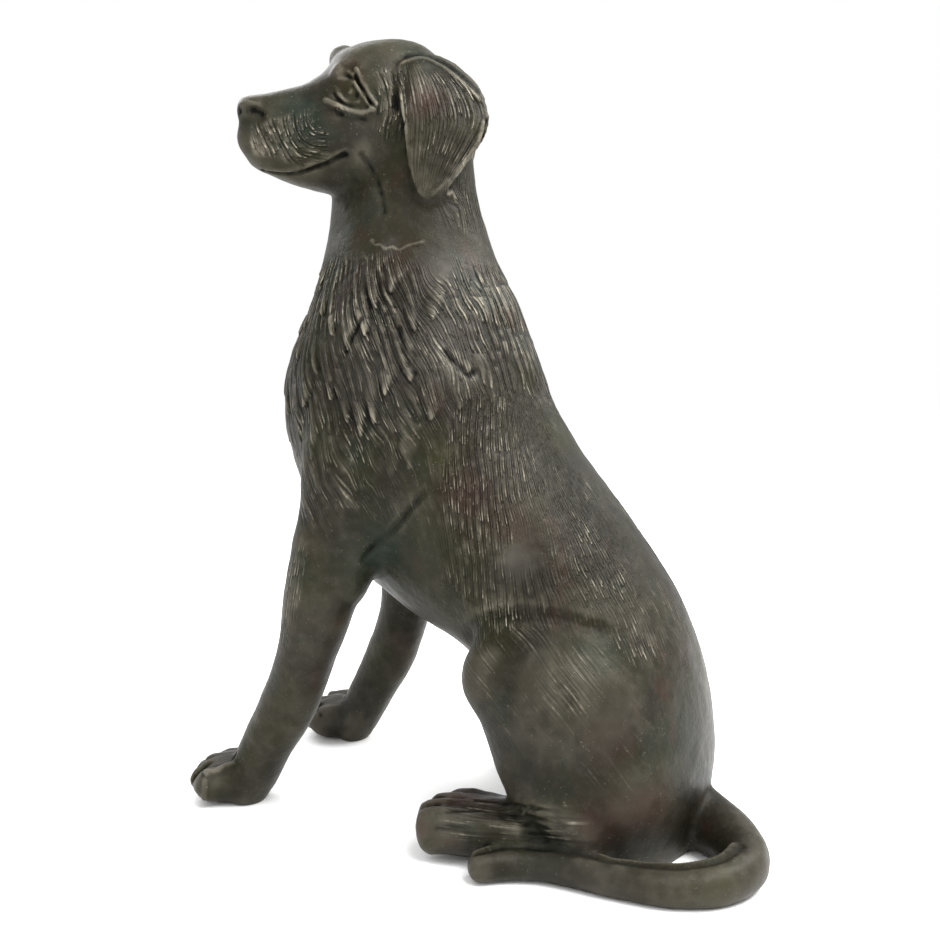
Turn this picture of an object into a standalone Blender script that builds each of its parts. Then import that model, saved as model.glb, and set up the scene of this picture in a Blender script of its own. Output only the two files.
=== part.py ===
"""Seated dog garden statue, cast in one piece and standing on its paws, rump and tail."""

import math

import bpy
import numpy as np
from mathutils import Matrix

# Driving sizes, in metres and degrees.
STATUE_HEIGHT = 0.75
HEAD_TURN = 37.0
HEAD_TILT = 13.0
SKIN_VOXEL = 0.0045
SKIN_RELAX_STEPS = 4
BLEND_STEPS = 30
TRIANGLE_BUDGET = 9600

# The figure is given in thousandths of its height: x to its left, y to its tail, z up.
SHARE = STATUE_HEIGHT / 1000
HEAD_PIVOT = (0, 185, 880)
LEFT_PAW_SLIDE = (-16, -8)
RIGHT_PAW_SLIDE = (14, -9)
PAW_TURN = 20.0
PAW_MIDDLE = (141, 10, 0)
SLIDE_TOP = 300
SLIDE_SPAN = 220
AROUND = 28
ROW_STEP = 9
CAP_ROWS = 4

# Sections along each form: centre x, y, z, half width, depth ahead (or under), depth behind (or above).
TRUNK = [
    (0, 506, 15, 138, 76, 96),
    (0, 496, 112, 164, 94, 117),
    (0, 455, 215, 162, 102, 134),
    (0, 388, 308, 149, 128, 141),
    (0, 306, 392, 151, 168, 154),
    (0, 232, 480, 159, 190, 173),
    (0, 194, 575, 151, 178, 175),
    (0, 186, 665, 127, 120, 160),
    (0, 190, 745, 90, 105, 122),
    (0, 194, 810, 69, 103, 98),
    (0, 196, 870, 60, 84, 90),
]
TRUNK_EGG = 0.14
SHOULDER = [
    (126, 145, 310, 46, 46, 54),
    (116, 160, 385, 52, 56, 72),
    (106, 182, 470, 56, 78, 86),
    (94, 222, 560, 52, 84, 84),
    (78, 262, 640, 40, 60, 60),
]
FORELEG = [
    (138, 18, 14, 36, 26, 30),
    (138, 30, 40, 38, 30, 34),
    (139, 57, 85, 36, 36, 33),
    (139, 91, 145, 36, 39, 38),
    (138, 118, 215, 40, 37, 39),
    (134, 136, 285, 44, 45, 49),
    (126, 150, 370, 46, 50, 56),
]
FAR_LEG_LEAN = (3, 5, 6, 2, -2, -7, -7)
FORE_PAW = [
    (141, 26, 28, 36, 28, 30),
    (141, 0, 28, 43, 30, 35),
    (141, -22, 24, 41, 27, 32),
]
FORE_TOES = ((-33, 14), (-12, 0), (12, 0), (34, 14))
FORE_TOE = [(0.85, 2, 40, 13, 20, 22), (1, -26, 37, 14, 20, 22), (1, -42, 22, 14, 20, 20)]
THIGH = ((110, 462, 188), (82, 106, 114), (12, 0, 0))
KNEE = ((128, 398, 216), (52, 58, 62), (20, 0, 0))
SHIN = [
    (120, 500, 25, 38, 40, 44),
    (130, 488, 64, 42, 48, 52),
    (132, 450, 125, 46, 66, 60),
    (128, 428, 200, 46, 70, 66),
]
HIND_FOOT = [
    (106, 520, 34, 36, 30, 38),
    (126, 450, 34, 39, 32, 38),
    (142, 386, 33, 41, 32, 39),
    (151, 331, 31, 43, 30, 38),
]
HIND_TOE_MIDDLE = 152
HIND_TOES = ((-33, 16), (-12, 2), (12, -1), (34, 8))
HIND_TOE = [(-8, 356, 38, 15, 24, 30), (-2, 332, 38, 16, 26, 33), (2, 311, 35, 15, 28, 32)]
TAIL = [
    (2, 545, 54, 38, 38, 38),
    (8, 590, 42, 39, 39, 39),
    (18, 622, 34, 36, 36, 36),
    (38, 648, 30, 33, 33, 33),
    (66, 668, 26, 30, 30, 30),
    (102, 676, 24, 27, 27, 27),
    (142, 657, 22, 25, 25, 25),
    (168, 615, 20, 23, 23, 23),
    (175, 560, 19, 21, 21, 21),
    (174, 505, 19, 20, 20, 20),
    (177, 462, 19, 19, 19, 19),
    (192, 424, 19, 19, 19, 19),
    (214, 395, 18, 18, 18, 18),
]
SKULL = [
    (0, 84, 24, 36, 52, 34),
    (0, 60, 27, 53, 75, 60),
    (0, 18, 28, 65, 88, 92),
    (0, -36, 22, 63, 92, 93),
    (0, -68, 12, 53, 90, 77),
    (0, -93, 6, 47, 86, 66),
    (0, -112, 2, 43, 75, 61),
    (0, -151, 0, 38, 60, 53),
    (0, -174, -1, 33, 48, 49),
    (0, -186, 2, 26, 33, 42),
]
SKULL_EGG = -0.1
SKULL_SQUARE = 2.15
NOSE = [(0, -148, 29, 21, 20, 21), (0, -174, 28, 23, 20, 19), (0, -196, 27, 21, 19, 17)]
NOSE_SQUARE = 2.8
EAR = [
    (55, 15, 84, 21, 12, 11),
    (62, 28, 70, 37, 11, 12),
    (71, 42, 44, 52, 10, 12),
    (79, 49, 12, 58, 9, 12),
    (86, 40, -20, 49, 9, 12),
    (92, 30, -48, 37, 9, 11),
    (97, 23, -72, 24, 8, 10),
    (98, 18, -84, 12, 7, 8),
]
BROW = ((29, -68, 75), (17, 25, 18), (0, 0, 0))
FAR_BROW = ((-29, -71, 88), (15, 19, 20), (0, 0, 0))
CHEEK = ((38, -34, -14), (26, 46, 40), (0, 0, 0))

# Carved lines: the way of the line, its half width and how far it stands out. The head's are in its own frame.
HEAD_LINES = [
    ([(42, -72, 82), (46, -72, 68), (49, -67, 54)], 11, -6.5),
    ([(40, -86, 60), (42, -85, 55), (44, -80, 49), (47, -75, 45), (49, -68, 43), (53, -59, 45)], 4, 4),
    ([(42, -62, 83), (45, -56, 71), (49, -51, 64), (55, -46, 53), (59, -38, 43)], 4.5, 5),
    ([(39, -98, 43), (43, -89, 41), (48, -75, 36), (52, -66, 33), (56, -56, 32), (60, -42, 36)], 4.5, 4),
    ([(13, -176, -46), (18, -171, -48), (30, -141, -48), (42, -104, -35), (50, -74, -19)], 5, -6),
    ([(17, -170, 20), (19, -180, 13), (14, -192, 9), (0, -202, 8)], 4.5, -3.5),
    ([(0, -206, 12), (0, -198, -8), (0, -190, -30)], 3.5, -3),
]
HEAD_DENTS = [
    ((49, -69, 57), 9, 8),
    ((12, -202, 26), 5.5, -6),
]
EAR_LINES = [
    ([(60, -12, 78), (68, -14, 44), (76, -15, 12), (82, -14, -20), (88, -13, -48), (93, -8, -74)], 5.5, -8),
    ([(84, 102, 10), (88, 92, -22), (91, 72, -50), (93, 54, -74)], 6, -6),
]
FAR_EAR_SHIFT = (24, -2, 25)
TOE_GAP = 23
FORE_TOE_LINE = ([(141, 8, 70), (141, -30, 60), (141, -58, 34), (141, -66, 8)], 4.5, -8)
HIND_TOE_LINE = ([(151, 356, 76), (151, 318, 68), (151, 300, 36), (151, 298, 10)], 4.5, -8)
BODY_LINES = [
    ([(158, 300, 440), (150, 264, 401), (140, 224, 366), (140, 196, 340)], 8, -5),
    ([(116, 334, 246), (124, 352, 274), (146, 392, 297), (150, 455, 306), (132, 512, 292)], 10, -4),
]
# The shaggy coat: its locks' size, where they start and end, and the upright axis that they hang round.
LOCK_LENGTH = 105
LOCK_WIDTH = 50
LOCK_DEPTH = 5.5
LOCK_TOP = 710
LOCK_END = 420
COAT_AXIS = 200
COAT_RADIUS = 150
COAT_MIDDLE = 600


def spline(points, count):
    """Smooth curve through the rows of points: a Catmull-Rom spline read at count even steps."""
    points = np.asarray(points, float)
    ends = np.vstack([2 * points[0] - points[1], points, 2 * points[-1] - points[-2]])
    place = np.linspace(0, len(points) - 1, count)
    span = np.minimum(place.astype(int), len(points) - 2)
    t = (place - span)[:, None]
    a, b, c, d = (ends[span + k] for k in range(4))
    return 0.5 * (2 * b + (c - a) * t + (2 * a - 5 * b + 4 * c - d) * t**2 + (3 * b - a - 3 * c + d) * t**3)


def unit(rows):
    """Each row made one long."""
    return rows / np.maximum(np.linalg.norm(rows, axis=-1, keepdims=True), 1e-9)


def skin(rings):
    """Points and outward faces through rings of equal count, closed at both ends."""
    around = len(rings[0])
    here = np.arange(around)
    ahead = (here + 1) % around
    faces = []
    for row in range(len(rings) - 1):
        low, high = row * around, (row + 1) * around
        faces += np.stack([low + here, low + ahead, high + ahead, high + here], 1).tolist()
    faces.append(here[::-1].tolist())
    faces.append(((len(rings) - 1) * around + here).tolist())
    return np.vstack(rings), faces


def loft(sections, side=(1, 0, 0), egg=0.0, square=2.0):
    """Closed skin through oval sections with rounded ends.

    side is the way the half widths point, egg widens a section behind its centre and square above 2
    squares it off.
    """
    sections = np.asarray(sections, float)
    length = np.linalg.norm(np.diff(sections[:, :3], axis=0), axis=1).sum()
    rows = spline(sections, max(6, int(length / ROW_STEP)))
    centres = rows[:, :3]
    along = unit(np.gradient(centres, axis=0))
    side = np.asarray(side, float)
    across = unit(side - (along @ side)[:, None] * along)
    behind = np.cross(along, across)
    turn = np.arange(1, CAP_ROWS + 1) / CAP_ROWS * math.pi / 2
    angle = np.arange(AROUND) / AROUND * 2 * math.pi
    wide = np.sign(np.cos(angle)) * np.abs(np.cos(angle)) ** (2 / square)
    deep = np.sign(np.sin(angle)) * np.abs(np.sin(angle)) ** (2 / square)

    def ring(k, centre, scale):
        width = rows[k, 3] * scale * wide * (1 + egg * deep)
        depth = np.where(deep > 0, rows[k, 5], rows[k, 4]) * scale * deep
        return centre + width[:, None] * across[k] + depth[:, None] * behind[k]

    rings = [ring(k, centres[k], 1.0) for k in range(len(rows))]
    for end, sign in ((0, -1), (-1, 1)):
        reach = rows[end, 3:6].mean() * 0.6
        for a in turn:
            cap = ring(end, centres[end] + sign * along[end] * reach * math.sin(a), max(math.cos(a), 0.02))
            rings.insert(0, cap) if sign < 0 else rings.append(cap)
    return skin(rings)


def pebble(centre, radii, turn):
    """Ellipsoid of those radii, turned by degrees about x, y and z."""
    angle = np.arange(AROUND) / AROUND * 2 * math.pi
    rings = [
        np.stack([math.cos(b) * np.cos(angle), math.cos(b) * np.sin(angle), np.full(AROUND, math.sin(b))], 1)
        for b in np.linspace(-math.pi / 2, math.pi / 2, 15)[1:-1]
    ]
    points, faces = skin(rings)
    spin = Matrix.Rotation(math.radians(turn[2]), 3, "Z") @ Matrix.Rotation(math.radians(turn[1]), 3, "Y")
    spin = np.array(spin @ Matrix.Rotation(math.radians(turn[0]), 3, "X"))
    return (points * np.asarray(radii)) @ spin.T + np.asarray(centre, float), faces


def mirrored(piece):
    """The same piece on the dog's other side."""
    points, faces = piece
    return points * (-1, 1, 1), [face[::-1] for face in faces]


def slid(sections, slide):
    """Leg sections whose paw is moved in x and y, less and less up to the elbow."""
    share = [min(1, max(0, (SLIDE_TOP - row[2]) / SLIDE_SPAN)) for row in sections]
    return [(row[0] + slide[0] * k, row[1] + slide[1] * k, *row[2:]) for row, k in zip(sections, share)]


def foreleg(slide, turn, lean):
    """Shoulder, arm, paw and toes of the left side, the paw turned outwards and the arm leant back."""
    arm = [(row[0], row[1] + back, *row[2:]) for row, back in zip(FORELEG, lean)]
    mid = PAW_MIDDLE[0]
    toes = [[(mid + dx * k, y + dy, z, *sizes) for k, y, z, *sizes in FORE_TOE] for dx, dy in FORE_TOES]
    middle = np.array(PAW_MIDDLE, float) + (*slide, 0)
    spin = np.array(Matrix.Rotation(math.radians(turn), 3, "Z"))
    paw = [loft(slid(form, slide)) for form in (FORE_PAW, *toes)]
    paw = [((points - middle) @ spin.T + middle, faces) for points, faces in paw]
    return [loft(slid(form, slide)) for form in (SHOULDER, arm)] + paw


def hindleg():
    """Thigh, knee, shin, foot and toes of the left side."""
    mid = HIND_TOE_MIDDLE
    toes = [[(mid + dx + x, y + dy, z, *sizes) for x, y, z, *sizes in HIND_TOE] for dx, dy in HIND_TOES]
    return [pebble(*THIGH), pebble(*KNEE), *[loft(form) for form in (SHIN, HIND_FOOT, *toes)]]


def turned(angle, axis):
    """Matrix of a turn by degrees about an axis."""
    return np.array(Matrix.Rotation(math.radians(angle), 3, axis))


def head():
    """Skull, muzzle, nose, brows and cheeks tilted on the neck, and ears that hang."""
    cheek = pebble(*CHEEK)
    forms = [loft(SKULL, egg=SKULL_EGG, square=SKULL_SQUARE), loft(NOSE, square=NOSE_SQUARE)]
    forms += [cheek, mirrored(cheek), pebble(*BROW), pebble(*FAR_BROW)]
    tilt = turned(HEAD_TILT, "Y")
    forms = [(points @ tilt.T, faces) for points, faces in forms]
    near = loft(EAR, side=(0, 1, 0))
    far = mirrored(near)
    forms += [near, (far[0] + FAR_EAR_SHIFT, far[1])]
    spin = turned(HEAD_TURN, "Z")
    return [(points @ spin.T + np.asarray(HEAD_PIVOT, float), faces) for points, faces in forms]


def figure():
    """All the overlapping forms of the dog."""
    return [
        loft(TRUNK, egg=TRUNK_EGG),
        *foreleg(LEFT_PAW_SLIDE, PAW_TURN, (0,) * len(FORELEG)),
        *[mirrored(form) for form in foreleg(RIGHT_PAW_SLIDE, -PAW_TURN, FAR_LEG_LEAN)],
        *hindleg(),
        *[mirrored(form) for form in hindleg()],
        loft(TAIL, side=(0, 0, 1)),
        *head(),
    ]


def joined(name, forms):
    """One mesh of all the closed forms, in metres."""
    points, faces, start = [], [], 0
    for form_points, form_faces in forms:
        points.append(form_points)
        faces += [[start + k for k in face] for face in form_faces]
        start += len(form_points)
    mesh = bpy.data.meshes.new(name)
    mesh.from_pydata((np.vstack(points) * SHARE).tolist(), [], faces)
    return mesh


def nearness(points, way):
    """Distance of each point from the smooth line through way."""
    samples = spline(way, 12 * len(way))
    away = np.full(len(points), 1e9)
    reach = 60
    near = np.all((points > samples.min(0) - reach) & (points < samples.max(0) + reach), axis=1)
    away[near] = np.linalg.norm(points[near, None] - samples[None], axis=2).min(1)
    return away


def chance(*keys):
    """A repeatable number from 0 to 1 for whole-number keys: the fraction of a large sine of their sum."""
    wild = np.sin(sum(key * weight for key, weight in zip(keys, (12.9898, 78.233)))) * 43758.5453
    return wild - np.floor(wild)


def locks(points):
    """Height of the coat's locks over chest, shoulders and nape, from -0.35 to 0.65.

    They hang in wavy columns round the chest's axis, each column starting at its own height, and a second
    family fills the gaps. A lock rises towards its tip, and its half width is the square root of the length
    left, so that it ends in a point with a step below it.
    """
    x, y, z = points.T
    turn = np.arctan2(x, COAT_AXIS - y)
    wave = 9 * np.sin(z / 41 + 2.2 * turn) + 6 * np.sin(z / 23 + 5 * turn)
    shear = 0.4 * np.sin(np.clip(turn, -2, 2) * math.pi / 2) * (z - COAT_MIDDLE)
    place = (turn * COAT_RADIUS + wave + shear) / LOCK_WIDTH
    highest = np.zeros(len(points))
    for shift in (0.0, 0.5):
        column = place + shift
        middle = np.floor(column)
        row = (LOCK_TOP - 20 - z) / LOCK_LENGTH + chance(middle, np.full(len(points), 9 + 2 * shift))
        along = row - np.floor(row)
        half = 1.15 * np.sqrt(np.clip(1 - along, 0.001, 1))
        body = np.clip(1 - (np.abs(column - middle - 0.5) * 2 / half) ** 2, 0, 1)
        highest = np.maximum(highest, body * along)
    coat = np.clip((z - LOCK_END) / 60, 0, 1) * np.clip((LOCK_TOP - z) / 30, 0, 1)
    coat *= np.clip((2.5 - np.abs(turn)) / 0.5, 0, 1)
    return coat * (highest - 0.35)


def carved(points, normals):
    """Points of the smooth figure with the head, the folds and the coat cut into them."""
    hung = (points - np.asarray(HEAD_PIVOT, float)) @ turned(HEAD_TURN, "Z")
    local = hung @ turned(HEAD_TILT, "Y")
    lift = np.zeros(len(points))
    for side in (-1, 1):
        faced = local * (side, 1, 1)
        half = faced[:, 0] > -6
        for way, width, height in HEAD_LINES:
            lift[half] += height * np.exp(-((nearness(faced[half], way) / width) ** 2))
        for centre, radius, height in HEAD_DENTS:
            away = np.linalg.norm(faced[half] - centre, axis=1)
            lift[half] += height * np.exp(-((away / radius) ** 2))
        faced = hung if side > 0 else (hung - FAR_EAR_SHIFT) * (-1, 1, 1)
        for way, width, height in EAR_LINES:
            lift += height * np.exp(-((nearness(faced, way) / width) ** 2))
        faced = points * (side, 1, 1)
        half = faced[:, 0] > 0
        for way, width, height in BODY_LINES:
            lift[half] += height * np.exp(-((nearness(faced[half], way) / width) ** 2))
        aside = np.array((*(LEFT_PAW_SLIDE if side > 0 else RIGHT_PAW_SLIDE), 0.0))
        middle = np.array(PAW_MIDDLE, float) + aside
        paw = (faced - middle) @ turned(side * PAW_TURN, "Z") + middle - aside
        for gap in (-TOE_GAP, 0, TOE_GAP):
            for at, (way, width, height) in ((paw, FORE_TOE_LINE), (faced, HIND_TOE_LINE)):
                shifted = [(x + gap, y + 0.3 * abs(gap), z) for x, y, z in way]
                lift[half] += height * np.exp(-((nearness(at[half], shifted) / width) ** 2))
    lift += LOCK_DEPTH * locks(points)
    return points + lift[:, None] * normals


def relaxed(mesh, points):
    """Points drawn to their neighbours' middle: a little everywhere and more where limbs meet the trunk."""
    edges = np.empty(len(mesh.edges) * 2, np.int64)
    mesh.edges.foreach_get("vertices", edges)
    first, second = edges.reshape(-1, 2).T
    count = len(points)
    degree = np.bincount(first, minlength=count) + np.bincount(second, minlength=count)
    x, y, z = points.T
    side = np.abs(x)
    thigh = np.clip((z - 60) / 60, 0, 1) * np.clip((y - 340) / 40, 0, 1) * np.clip((640 - y) / 40, 0, 1)
    shoulder = np.clip((z - 300) / 60, 0, 1) * np.clip((780 - z) / 60, 0, 1)
    blend = np.clip(np.maximum(thigh, shoulder), 0, 1) * np.clip((side - 20) / 30, 0.3, 1)
    for step in range(SKIN_RELAX_STEPS + BLEND_STEPS):
        total = np.stack(
            [
                np.bincount(first, points[second, k], count) + np.bincount(second, points[first, k], count)
                for k in range(3)
            ],
            1,
        )
        pull = 0.5 if step < SKIN_RELAX_STEPS else 0.5 * blend[:, None]
        points = points + pull * (total / degree[:, None] - points)
    return points


def outward(mesh, points):
    """Unit normal at each point of the mesh."""
    mesh.vertices.foreach_set("co", (points * SHARE).astype(np.float32).ravel())
    mesh.update()
    normals = np.empty(len(points) * 3, np.float32)
    mesh.vertex_normals.foreach_get("vector", normals)
    return normals.reshape(-1, 3).astype(float)


def fused(name, forms):
    """One even skin round all the forms, relaxed and carved."""
    scene = bpy.context.scene
    rough = bpy.data.objects.new(name + "_forms", joined(name + "_forms", forms))
    scene.collection.objects.link(rough)
    remesh = rough.modifiers.new("skin", "REMESH")
    remesh.mode = "VOXEL"
    remesh.voxel_size = SKIN_VOXEL
    mesh = evaluated(rough)
    bpy.data.objects.remove(rough)
    points = relaxed(mesh, places(mesh) / SHARE)
    points = carved(points, outward(mesh, points))
    outward(mesh, points)
    return mesh


def ground(points):
    """Closed block with its top on the floor, wider than the figure."""
    low = points.min(0) - 0.05
    high = points.max(0) + 0.05
    corners = [(x, y, z) for x in (low[0], high[0]) for y in (low[1], high[1]) for z in (low[2] - 0.1, 0)]
    mesh = bpy.data.meshes.new("ground")
    mesh.from_pydata(
        corners, [], [(0, 1, 3, 2), (4, 6, 7, 5), (0, 4, 5, 1), (2, 3, 7, 6), (0, 2, 6, 4), (1, 5, 7, 3)]
    )
    return mesh


def bronze():
    """Dark patinated bronze."""
    material = bpy.data.materials.new("patinated_bronze")
    material.use_nodes = True
    shader = material.node_tree.nodes["Principled BSDF"]
    shader.inputs["Base Color"].default_value = (0.055, 0.05, 0.035, 1)
    shader.inputs["Metallic"].default_value = 0.75
    shader.inputs["Roughness"].default_value = 0.42
    return material


def evaluated(body):
    """The mesh of an object after its modifiers."""
    graph = bpy.context.evaluated_depsgraph_get()
    return bpy.data.meshes.new_from_object(body.evaluated_get(graph))


def places(mesh):
    """Vertex places of a mesh as rows."""
    points = np.empty(len(mesh.vertices) * 3, np.float32)
    mesh.vertices.foreach_get("co", points)
    return points.reshape(-1, 3).astype(float)


def thinned_and_footed(mesh):
    """The skin brought down to the triangle budget and cut flat where it stands."""
    collection = bpy.context.scene.collection
    rough = bpy.data.objects.new("rough", mesh)
    block = bpy.data.objects.new("ground", ground(places(mesh)))
    collection.objects.link(rough)
    collection.objects.link(block)
    thin = rough.modifiers.new("thin", "DECIMATE")
    thin.ratio = TRIANGLE_BUDGET / (2 * len(mesh.polygons))
    cut = rough.modifiers.new("cut", "BOOLEAN")
    cut.object = block
    cut.operation = "DIFFERENCE"
    cut.solver = "EXACT"
    footed = evaluated(rough)
    bpy.data.objects.remove(rough)
    bpy.data.objects.remove(block)
    return footed


def main():
    for old in list(bpy.data.objects):
        bpy.data.objects.remove(old)
    mesh = thinned_and_footed(fused("skin", figure()))
    points = places(mesh)
    low, high = points.min(0), points.max(0)
    points = (points - ((low[0] + high[0]) / 2, (low[1] + high[1]) / 2, 0)) * STATUE_HEIGHT / high[2]
    mesh.vertices.foreach_set("co", points.astype(np.float32).ravel())
    mesh.update()
    mesh.name = "dog"
    mesh.materials.clear()
    mesh.materials.append(bronze())
    dog = bpy.data.objects.new("dog", mesh)
    bpy.context.scene.collection.objects.link(dog)


if __name__ == "__main__":
    main()
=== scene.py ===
"""Finished look of the seated dog garden statue: one bronze cast with a carved coat and a worn patina."""

import logging
import math
from dataclasses import dataclass, field
from enum import Enum

import bmesh
import bpy
import numpy as np
from mathutils import Matrix, Vector


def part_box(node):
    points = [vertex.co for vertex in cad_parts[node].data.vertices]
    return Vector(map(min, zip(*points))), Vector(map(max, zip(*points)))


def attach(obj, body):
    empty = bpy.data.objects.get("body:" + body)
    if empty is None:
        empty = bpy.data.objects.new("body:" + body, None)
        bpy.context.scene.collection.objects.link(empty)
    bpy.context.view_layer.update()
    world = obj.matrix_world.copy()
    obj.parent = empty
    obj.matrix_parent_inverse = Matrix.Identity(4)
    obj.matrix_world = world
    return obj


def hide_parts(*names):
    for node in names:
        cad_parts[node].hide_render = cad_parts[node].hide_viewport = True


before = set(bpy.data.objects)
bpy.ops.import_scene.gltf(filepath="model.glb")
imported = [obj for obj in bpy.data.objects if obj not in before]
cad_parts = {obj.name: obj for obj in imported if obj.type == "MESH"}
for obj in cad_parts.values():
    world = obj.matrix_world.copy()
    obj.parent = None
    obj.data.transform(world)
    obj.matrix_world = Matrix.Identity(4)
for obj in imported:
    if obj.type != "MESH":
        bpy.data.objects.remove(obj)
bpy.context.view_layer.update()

Array = np.ndarray
Row = tuple[float, ...]
Lie = tuple[Array, Array, Array]
log = logging.getLogger("garden_dog")

# Lengths are thousandths of the statue's height: x to the dog's left, y to its tail, z up. A lie of the hair
# is the place across it, the place along it towards the tips, and how much hair is there.
SHARE = 0.00075


class Side(Enum):
    """The dog's own left and right, as the sign of x."""

    LEFT = 1
    RIGHT = -1


class Flow(Enum):
    """The ways in which the hair lies, one for each part of the body."""

    COAT = 0
    BACK = 1
    THIGH = 2
    FOOT = 3
    LEG = 4
    EAR = 5
    MUZZLE = 6
    CURL = 7
    PLAIN = 8


def unit(rows: Array) -> Array:
    """Each row divided by its length."""
    return rows / np.maximum(np.linalg.norm(rows, axis=-1, keepdims=True), 1e-9)


def slope(value: Array, low: float, high: float) -> Array:
    """0 at low, 1 at high and a straight rise between."""
    return np.clip((value - low) / (high - low), 0, 1)


def ramp(value: Array, low: float, high: float) -> Array:
    """0 at low, 1 at high and an S-shaped rise between, 3 t squared less 2 t cubed."""
    t = slope(value, low, high)
    return t * t * (3 - 2 * t)


def band(value: Array, rise: Row, fall: Row) -> Array:
    """0 up to the rise, 1 from there to the fall and 0 beyond it, with S-shaped flanks."""
    return ramp(value, *rise) * (1 - ramp(value, *fall))


def turned(angle: float, axis: str) -> Array:
    """Matrix of a turn by degrees about an axis."""
    return np.array(Matrix.Rotation(math.radians(angle), 3, axis))


def chance(*keys: Array) -> Array:
    """A repeatable number from 0 to 1 for whole keys: the fraction of a large sine of their weighted sum.

    Args:
        *keys: whole numbers, an array for each key.

    Returns:
        One number for each row of keys.
    """
    mixed = sum(key * weight for key, weight in zip(keys, (12.9898, 78.233, 37.719, 4.581)))
    wild = np.sin(mixed) * 43758.5453
    return wild - np.floor(wild)


def cloudy(points: Array, size: float, seed: int = 0) -> Array:
    """Smooth noise from -1 to 1: chance values at the corners of a lattice of that size, blended between.

    Args:
        points: rows of x, y, z.
        size: width of a lattice cell.
        seed: picks another noise of the same kind.

    Returns:
        One value for each row.
    """
    place = points / size + 17.3 * seed
    cell = np.floor(place)
    t = place - cell
    t = t * t * (3 - 2 * t)
    total = np.zeros(len(points))
    for corner in range(8):
        step = np.array([corner & 1, corner >> 1 & 1, corner >> 2 & 1])
        share = np.prod(np.where(step, t, 1 - t), axis=1)
        total += share * chance(*(cell + step).T, np.full(len(points), seed))
    return 2 * total - 1


def spline(points: Array, count: int) -> Array:
    """Rows of a Catmull-Rom curve through the given rows, read at count even steps.

    Args:
        points: the rows that the curve goes through.
        count: how many rows are read.

    Returns:
        The rows read.
    """
    points = np.asarray(points, float)
    ends = np.vstack([2 * points[0] - points[1], points, 2 * points[-1] - points[-2]])
    place = np.linspace(0, len(points) - 1, count)
    span = np.minimum(place.astype(int), len(points) - 2)
    t = (place - span)[:, None]
    a, b, c, d = (ends[span + k] for k in range(4))
    return 0.5 * (2 * b + (c - a) * t + (2 * a - 5 * b + 4 * c - d) * t**2 + (3 * b - a - 3 * c + d) * t**3)


@dataclass(frozen=True)
class Skin:
    """A closed surface."""

    points: Array
    faces: list[list[int]]

    @classmethod
    def through(cls, rings: list[Array]) -> "Skin":
        """The surface through rings of equal count, closed by a face at both ends.

        Args:
            rings: closed rings of points, all with the same count.

        Returns:
            The closed surface.
        """
        around = len(rings[0])
        here = np.arange(around)
        ahead = (here + 1) % around
        starts = np.arange(len(rings) - 1)[:, None] * around
        quads = np.stack([starts + here, starts + ahead, starts + around + ahead, starts + around + here], 2)
        faces = quads.reshape(-1, 4).tolist()
        return cls(np.vstack(rings), faces + [here[::-1].tolist(), (starts[-1] + around + here).tolist()])

    def mirrored(self) -> "Skin":
        """The same surface on the dog's other side."""
        return Skin(self.points * (-1, 1, 1), [face[::-1] for face in self.faces])

    def moved(self, turn: Array, about: Row = (0, 0, 0), shift: Row = (0, 0, 0)) -> "Skin":
        """The surface turned about a point and then shifted."""
        about = np.asarray(about, float)
        return Skin((self.points - about) @ turn.T + about + np.asarray(shift, float), self.faces)


@dataclass(frozen=True)
class Loft:
    """A form carried through oval sections: centre x, y, z, half width, depth ahead and depth behind."""

    sections: tuple[Row, ...]
    side: Row = (1, 0, 0)
    egg: float = 0.0
    square: float = 2.0
    around: int = 36
    step: float = 7.0
    cap_rows: int = 5

    def skin(self) -> Skin:
        """The surface with rounded ends.

        A point at angle a round a section is its centre + width cos a (1 + egg sin a) across + depth sin a
        behind, with cos a and sin a raised to 2 / square, and each end closes over a quarter ellipse.

        Returns:
            The closed surface.
        """
        sections = np.asarray(self.sections, float)
        length = np.linalg.norm(np.diff(sections[:, :3], axis=0), axis=1).sum()
        rows = spline(sections, max(6, int(length / self.step)))
        along = unit(np.gradient(rows[:, :3], axis=0))
        side = np.asarray(self.side, float)
        across = unit(side - (along @ side)[:, None] * along)
        behind = np.cross(along, across)
        quarter = np.arange(1, self.cap_rows + 1) / self.cap_rows * math.pi / 2
        angle = np.arange(self.around) / self.around * 2 * math.pi
        wide = np.sign(np.cos(angle)) * np.abs(np.cos(angle)) ** (2 / self.square)
        deep = np.sign(np.sin(angle)) * np.abs(np.sin(angle)) ** (2 / self.square)

        def ring(k: int, centre: Array, scale: float) -> Array:
            """One ring: the centre, the width across and the depth behind it, both times the scale.

            Args:
                k: number of the row.
                centre: middle of the ring.
                scale: share of the full size.

            Returns:
                The points of the ring.
            """
            width = rows[k, 3] * scale * wide * (1 + self.egg * deep)
            depth = np.where(deep > 0, rows[k, 5], rows[k, 4]) * scale * deep
            return centre + width[:, None] * across[k] + depth[:, None] * behind[k]

        rings = [ring(k, rows[k, :3], 1.0) for k in range(len(rows))]
        for end, sign in ((0, -1), (-1, 1)):
            reach = rows[end, 3:6].mean() * 0.6
            for a in quarter:
                centre = rows[end, :3] + sign * along[end] * reach * math.sin(a)
                cap = ring(end, centre, max(math.cos(a), 0.02))
                rings.insert(0, cap) if sign < 0 else rings.append(cap)
        return Skin.through(rings)


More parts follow.
